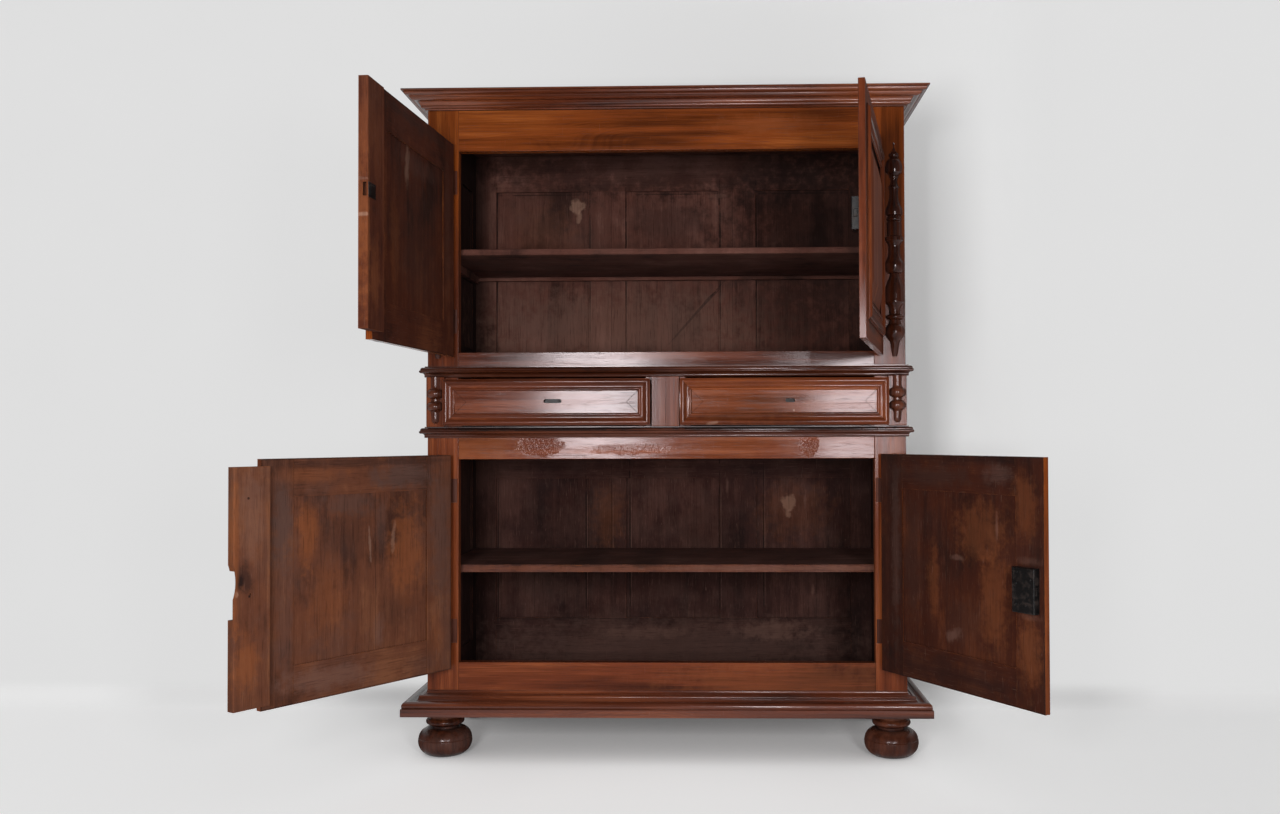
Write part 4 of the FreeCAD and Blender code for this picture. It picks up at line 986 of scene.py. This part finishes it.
class CUPBOARD_OT_shelf(bpy.types.Operator):
    """Models the lower shelf with its worn, uneven front edge"""
    bl_idname = "cupboard.shelf"
    bl_label = "Worn Lower Shelf"

    def execute(self, context):
        low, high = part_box("lower_shelf")
        piece = start_board("worn_lower_shelf", low, high)
        pick(piece, lambda e: abs(e.verts[0].co.x - e.verts[1].co.x) > 1.0, "edges")
        bpy.ops.mesh.subdivide(number_cuts=SHELF_CUTS)
        step = (high.x - low.x) / (SHELF_CUTS + 1)
        for column in range(SHELF_CUTS + 2):
            x = low.x + column * step
            down, back = worn_at(x)
            front = low.y + NEAR
            pick(piece, lambda v: abs(v.co.x - x) < step / 4 and v.co.y < front and v.co.z > high.z - NEAR)
            bpy.ops.transform.translate(value=(0.0, back, -down))
            pick(piece, lambda v: abs(v.co.x - x) < step / 4 and v.co.y < front + back
                 and v.co.z < low.z + NEAR)
            bpy.ops.transform.translate(value=(0.0, back * 0.4, 0.0))
        pick(piece, lambda e: e.is_boundary or (abs(e.verts[0].co.z - e.verts[1].co.z) < 0.003
             and max(v.co.y for v in e.verts) < low.y + 0.008), "edges")
        bpy.ops.mesh.bevel(offset=SHELF_BEVEL, segments=3, profile=0.5, clamp_overlap=True)
        material = oak("Worn Shelf Oak", state["groups"], straight("lower_shelf", ACROSS), SHELF_LOOK)
        end_piece(piece, "carcass", material)
        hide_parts("lower_shelf")
        bpy.ops.object.shade_smooth_by_angle(angle=math.radians(35.0))
        return {"FINISHED"}


def hang(piece, door, material):
    """Turns a piece made in the closed door's own axes to the door, and lets it ride the door."""
    turn, hinge = door_turn(door)
    bpy.ops.mesh.select_all(action="SELECT")
    bpy.ops.transform.rotate(value=-turn, orient_axis="Z", center_override=(0.0, 0.0, 0.0))
    bpy.ops.transform.translate(value=hinge)
    end_piece(piece, door + "_door", material)


# Domed nails of the lower right lock and its stile: from the hinge, up, how far back, radius
LOCK_NAILS = ((0.533, 0.001, 0.034, 0.0036), (0.532, -0.049, 0.034, 0.003), (0.564, -0.049, 0.034, 0.003),
              (0.537, 0.028, 0.034, 0.0028), (0.58, 0.012, 0.034, 0.0026))
NAIL_STEPS = ((0.0008, 0.98), (0.0008, 0.8), (0.0005, 0.45))


def door_nails(material):
    """Domed nail heads on the lower right lock, each drawn up in rings from a disc."""
    side = from_hinge("lower_right")
    bpy.ops.object.select_all(action="DESELECT")
    piece = None
    for along, up, back, radius in LOCK_NAILS:
        centre = (side * along, back - 0.0003, up)
        bpy.ops.mesh.primitive_circle_add(vertices=14, radius=radius, fill_type="NGON", location=centre,
                                          rotation=(-math.pi / 2, 0.0, 0.0))
        if piece is None:
            piece = bpy.context.object
            piece.name = piece.data.name = "lower_right_lock_nails"
            bpy.ops.object.transform_apply(location=True, rotation=True, scale=True)
            bpy.ops.object.mode_set(mode="EDIT")
            bpy.ops.mesh.select_all(action="SELECT")
        for rise, shrink in NAIL_STEPS:
            bpy.ops.mesh.extrude_context_move(TRANSFORM_OT_translate={"value": (0.0, rise, 0.0)})
            bpy.ops.transform.resize(value=(shrink, 1.0, shrink), center_override=centre)
        bpy.ops.mesh.select_all(action="DESELECT")
    hang(piece, "lower_right", material)


# The keep's corners in the closed door's axes, its border and how far its middle rises
KEEP_LOW, KEEP_HIGH = Vector((0.658, 0.0398, 0.011)), Vector((0.7, 0.0412, 0.045))
KEEP_BORDER, KEEP_RISE = 0.005, 0.0014


def keep_plate(material):
    """The iron keep on the back of the upper left door's post, with its turned lip."""
    low, high = KEEP_LOW, KEEP_HIGH
    piece = start_board("upper_left_keep", low, high)
    pick(piece, lambda f: f.normal.y > 0.9, "faces")
    bpy.ops.mesh.inset(thickness=KEEP_BORDER, depth=0.0)
    bpy.ops.mesh.extrude_context_move(TRANSFORM_OT_translate={"value": (0.0, KEEP_RISE, 0.0)})
    bpy.ops.transform.resize(value=(0.86, 1.0, 0.92), center_override=((low + high) / 2))
    pick(piece, lambda e: abs(e.verts[0].co.y - e.verts[1].co.y) > 0.001, "edges")
    bpy.ops.mesh.bevel(offset=0.0012, segments=2, profile=0.5, clamp_overlap=True)
    hang(piece, "upper_left", material)


class CUPBOARD_OT_doors(bpy.types.Operator):
    """Finishes the four doors"""
    bl_idname = "cupboard.doors"
    bl_label = "Doors"

    def execute(self, context):
        finish_boards(door_boards(), context.scene.oak_finish.eased_edge)
        return {"FINISHED"}


class CUPBOARD_OT_drawers(bpy.types.Operator):
    """Finishes the two drawers"""
    bl_idname = "cupboard.drawers"
    bl_label = "Drawers"

    def execute(self, context):
        finish_boards(drawer_boards(), context.scene.oak_finish.eased_edge)
        return {"FINISHED"}


class CUPBOARD_OT_ironwork(bpy.types.Operator):
    """Finishes the locks, bolts and hinges"""
    bl_idname = "cupboard.ironwork"
    bl_label = "Ironwork"

    def execute(self, context):
        material = iron(state["groups"])
        hinge_paint = oak("Varnished Hinge", state["groups"], straight("case_hinges", UPRIGHT),
                          {"stain": "umber", "seed": 1.0, "sheen": 0.4})
        for node in nodes:
            if node.endswith(("_lock", "_bolt", "hinge_leaves", "case_hinges")):
                dress(nodes[node], hinge_paint if "hinge" in node else material)
                ease(nodes[node], IRON_EDGE)
        door_nails(material)
        keep_plate(material)
        return {"FINISHED"}


def area_lamp(name, place, aim, width, height, power):
    data = bpy.data.lights.new(name, "AREA")
    data.shape = "RECTANGLE"
    data.size, data.size_y = width, height
    data.energy = power
    lamp = bpy.data.objects.new(name, data)
    lamp.location = place
    lamp.rotation_euler = (Vector(aim) - Vector(place)).to_track_quat("-Z", "Y").to_euler()
    bpy.context.scene.collection.objects.link(lamp)


# The soft lamps: name, place, aim, width, height, and the setting that holds the power
LAMPS = (("left lamp", (-0.53, -3.75, 1.1), (-0.1, 0.0, 1.0), 0.54, 0.8, "left_power"),
         ("right lamp", (0.97, -3.75, 1.1), (0.3, 0.0, 1.0), 0.46, 0.8, "right_power"))


# Where along X the backdrop's shade grows and ends, and how pale the floor takes light
LEFT_FADE, RIGHT_FADE = (-0.9, 0.6), (1.02, 1.3)
FLOOR_ALBEDO = 0.85
# The backdrop: half width, height, the curve's radius and its steps
PAPER_HALF, PAPER_HEIGHT, CURVE, CURVE_STEPS = 9.0, 7.0, 0.1, 12


def seen_ray(w):
    """1 for rays of the camera, of glossy surfaces and of glass."""
    path = w.add("LightPath").node.outputs
    seen = w.most(path["Is Camera Ray"], path["Is Glossy Ray"])
    return w.most(seen, path["Is Transmission Ray"])


def paper_material(stage, groups):
    """Paper that looks evenly pale where nothing shades it, with a painted shadow on the floor under the
    cupboard; its back lets the view through.
    """
    material, w, shader = new_material("Grey Paper")
    here = w.add("TexCoord", out="Object")
    normal = w.add("NewGeometry", out="Normal")
    x, y, z = w.split(here)
    up = w.ramp(w.split(normal)[2], 0.2, 0.8)
    shaded = w.times(w.ramp(x, *LEFT_FADE), w.other(w.ramp(x, *RIGHT_FADE)))
    albedo = w.slide(up, w.slide(shaded, stage.left_shade, stage.right_shade), FLOOR_ALBEDO)
    light = stage.fill
    for name, place, aim, width, height, power in LAMPS:
        ahead = (Vector(aim) - Vector(place)).normalized()
        light = w.plus(light, w.group(groups["Lamp On Paper"], {
            "Position": here, "Normal": normal, "Lamp": place, "Aim": ahead,
            "Power": getattr(stage, power)})["Light"])
    glow = w.minus(stage.paper, w.times(albedo, light))
    # Painted shadow: the floor's glow darkens by ambient occlusion under and near the cupboard
    under = w.ramp(w.add("AmbientOcclusion", {"Distance": 0.8}, out="AO", samples=8), -0.25, 0.8)
    lift = w.slide(w.ramp(x, 0.2, 1.5), 0.085, 0.01)
    near = w.times(up, w.other(w.ramp(w.size(x), 0.75, 1.3)))
    glow = w.times(w.most(w.plus(glow, w.times(up, lift)), 0.0), w.slide(near, 1.0, under))
    tooth = w.slide(w.noise(here, 2.2, 3.0), 0.985, 1.015)
    w.join(w.gather(albedo, albedo, albedo), shader.inputs["Base Color"])
    shader.inputs["Roughness"].default_value = 1.0
    shader.inputs["Specular IOR Level"].default_value = 0.0
    shade = w.times(glow, tooth)
    w.join(w.gather(shade, shade, shade), shader.inputs["Emission Color"])
    w.join(seen_ray(w), shader.inputs["Emission Strength"])
    tree = material.node_tree
    clear = tree.nodes.new("ShaderNodeBsdfTransparent")
    mix = tree.nodes.new("ShaderNodeMixShader")
    w.join(w.add("NewGeometry", out="Backfacing"), mix.inputs[0])
    w.join(shader.outputs[0], mix.inputs[1])
    w.join(clear.outputs[0], mix.inputs[2])
    output = next(n for n in tree.nodes if n.type == "OUTPUT_MATERIAL")
    w.join(mix.outputs[0], output.inputs[0])
    return material


def paper_backdrop(stage, groups):
    """One sheet for floor and wall with a curve between them."""
    wall_y = BACK_Y + stage.wall_gap
    profile = [(-PAPER_HALF, 0.0), (wall_y - CURVE, 0.0)]
    for step in range(1, CURVE_STEPS + 1):
        turn = math.pi / 2 * step / CURVE_STEPS
        profile.append((wall_y - CURVE + CURVE * math.sin(turn), CURVE - CURVE * math.cos(turn)))
    profile.append((wall_y, PAPER_HEIGHT))
    mesh = bpy.data.meshes.new("paper_backdrop")
    points = [(x, y, z) for x in (-PAPER_HALF, PAPER_HALF) for y, z in profile]
    count = len(profile)
    faces = [(i, count + i, count + i + 1, i + 1) for i in range(count - 1)]
    mesh.from_pydata(points, [], faces)
    mesh.polygons.foreach_set("use_smooth", [True] * len(faces))
    sheet = bpy.data.objects.new("paper_backdrop", mesh)
    bpy.context.scene.collection.objects.link(sheet)
    mesh.materials.append(paper_material(stage, groups))


def studio_world(stage):
    """Plain fill light; looked at, it is pale behind the cupboard and dimmer in front of it."""
    world = bpy.data.worlds.new("studio")
    world.use_nodes = True
    w = Wiring(world.node_tree)
    y = w.split(w.add("TexCoord", out="Generated"))[1]
    looked_at = w.slide(w.ramp(y, -0.2, 0.5), stage.studio_dark, stage.paper)
    strength = w.slide(seen_ray(w), stage.fill, looked_at)
    background = world.node_tree.nodes["Background"]
    background.inputs[0].default_value = (1.0, 1.0, 1.0, 1.0)
    w.join(strength, background.inputs[1])
    bpy.context.scene.world = world


class CUPBOARD_OT_stage(bpy.types.Operator):
    """Sets up the paper backdrop, the lamps, the world and the camera"""
    bl_idname = "cupboard.stage"
    bl_label = "Stage"

    def execute(self, context):
        stage = context.scene.studio_stage
        paper_backdrop(stage, state["groups"])
        for name, place, aim, width, height, power in LAMPS:
            area_lamp(name, place, aim, width, height, getattr(stage, power))
        studio_world(stage)
        context.scene.view_settings.view_transform = "Standard"
        place_camera(context.scene)
        return {"FINISHED"}


# The photograph's camera: turn, tilt and roll in radians, place, and its picture in pixels
YAW, PITCH, ROLL = 0.025, 0.017, -0.003
CAMERA_PLACE = (0.13318, -3.5593, 0.9119)
PICTURE = (1280.0, 814.0)
CENTRE = (683.75, 414.93)
FOCAL = 1160.76
SENSOR = 36.0


def place_camera(scene):
    """The camera of the photograph: its place, its turn, its lens and its small shift."""
    wide, high = PICTURE
    data = bpy.data.cameras.new("camera")
    data.sensor_width = SENSOR
    data.lens = FOCAL / wide * SENSOR
    data.shift_x = (wide / 2 - CENTRE[0]) / wide
    data.shift_y = (CENTRE[1] - high / 2) / wide
    camera = bpy.data.objects.new("camera", data)
    turns = ((YAW, "Z"), (math.pi / 2 + PITCH, "X"), (ROLL, "Z"))
    yaw, pitch, roll = (Matrix.Rotation(angle, 4, axis) for angle, axis in turns)
    camera.matrix_world = Matrix.Translation(CAMERA_PLACE) @ yaw @ pitch @ roll
    scene.collection.objects.link(camera)
    scene.camera = camera


STEPS = (CUPBOARD_OT_groups, CUPBOARD_OT_stage, CUPBOARD_OT_case, CUPBOARD_OT_shelf, CUPBOARD_OT_doors,
         CUPBOARD_OT_drawers, CUPBOARD_OT_ironwork)
SETTINGS = (("oak_finish", OakFinish), ("iron_finish", IronFinish), ("studio_stage", StudioStage))


class CUPBOARD_PT_panel(bpy.types.Panel):
    """Lists the steps that dress the cupboard"""
    bl_idname = "CUPBOARD_PT_panel"
    bl_label = "Court Cupboard"
    bl_space_type = "VIEW_3D"
    bl_region_type = "UI"
    bl_category = "Cupboard"

    def draw(self, context):
        for step in STEPS:
            self.layout.operator(step.bl_idname)


def register():
    for name, group in SETTINGS:
        bpy.utils.register_class(group)
        setattr(bpy.types.Scene, name, bpy.props.PointerProperty(type=group))
    for made in STEPS + (CUPBOARD_PT_panel,):
        bpy.utils.register_class(made)


def unregister():
    for made in reversed(STEPS + (CUPBOARD_PT_panel,)):
        bpy.utils.unregister_class(made)
    for name, group in reversed(SETTINGS):
        delattr(bpy.types.Scene, name)
        bpy.utils.unregister_class(group)


def main():
    register()
    for step in STEPS:
        family, action = step.bl_idname.split(".")
        getattr(getattr(bpy.ops, family), action)()


if __name__ == "__main__":
    main()
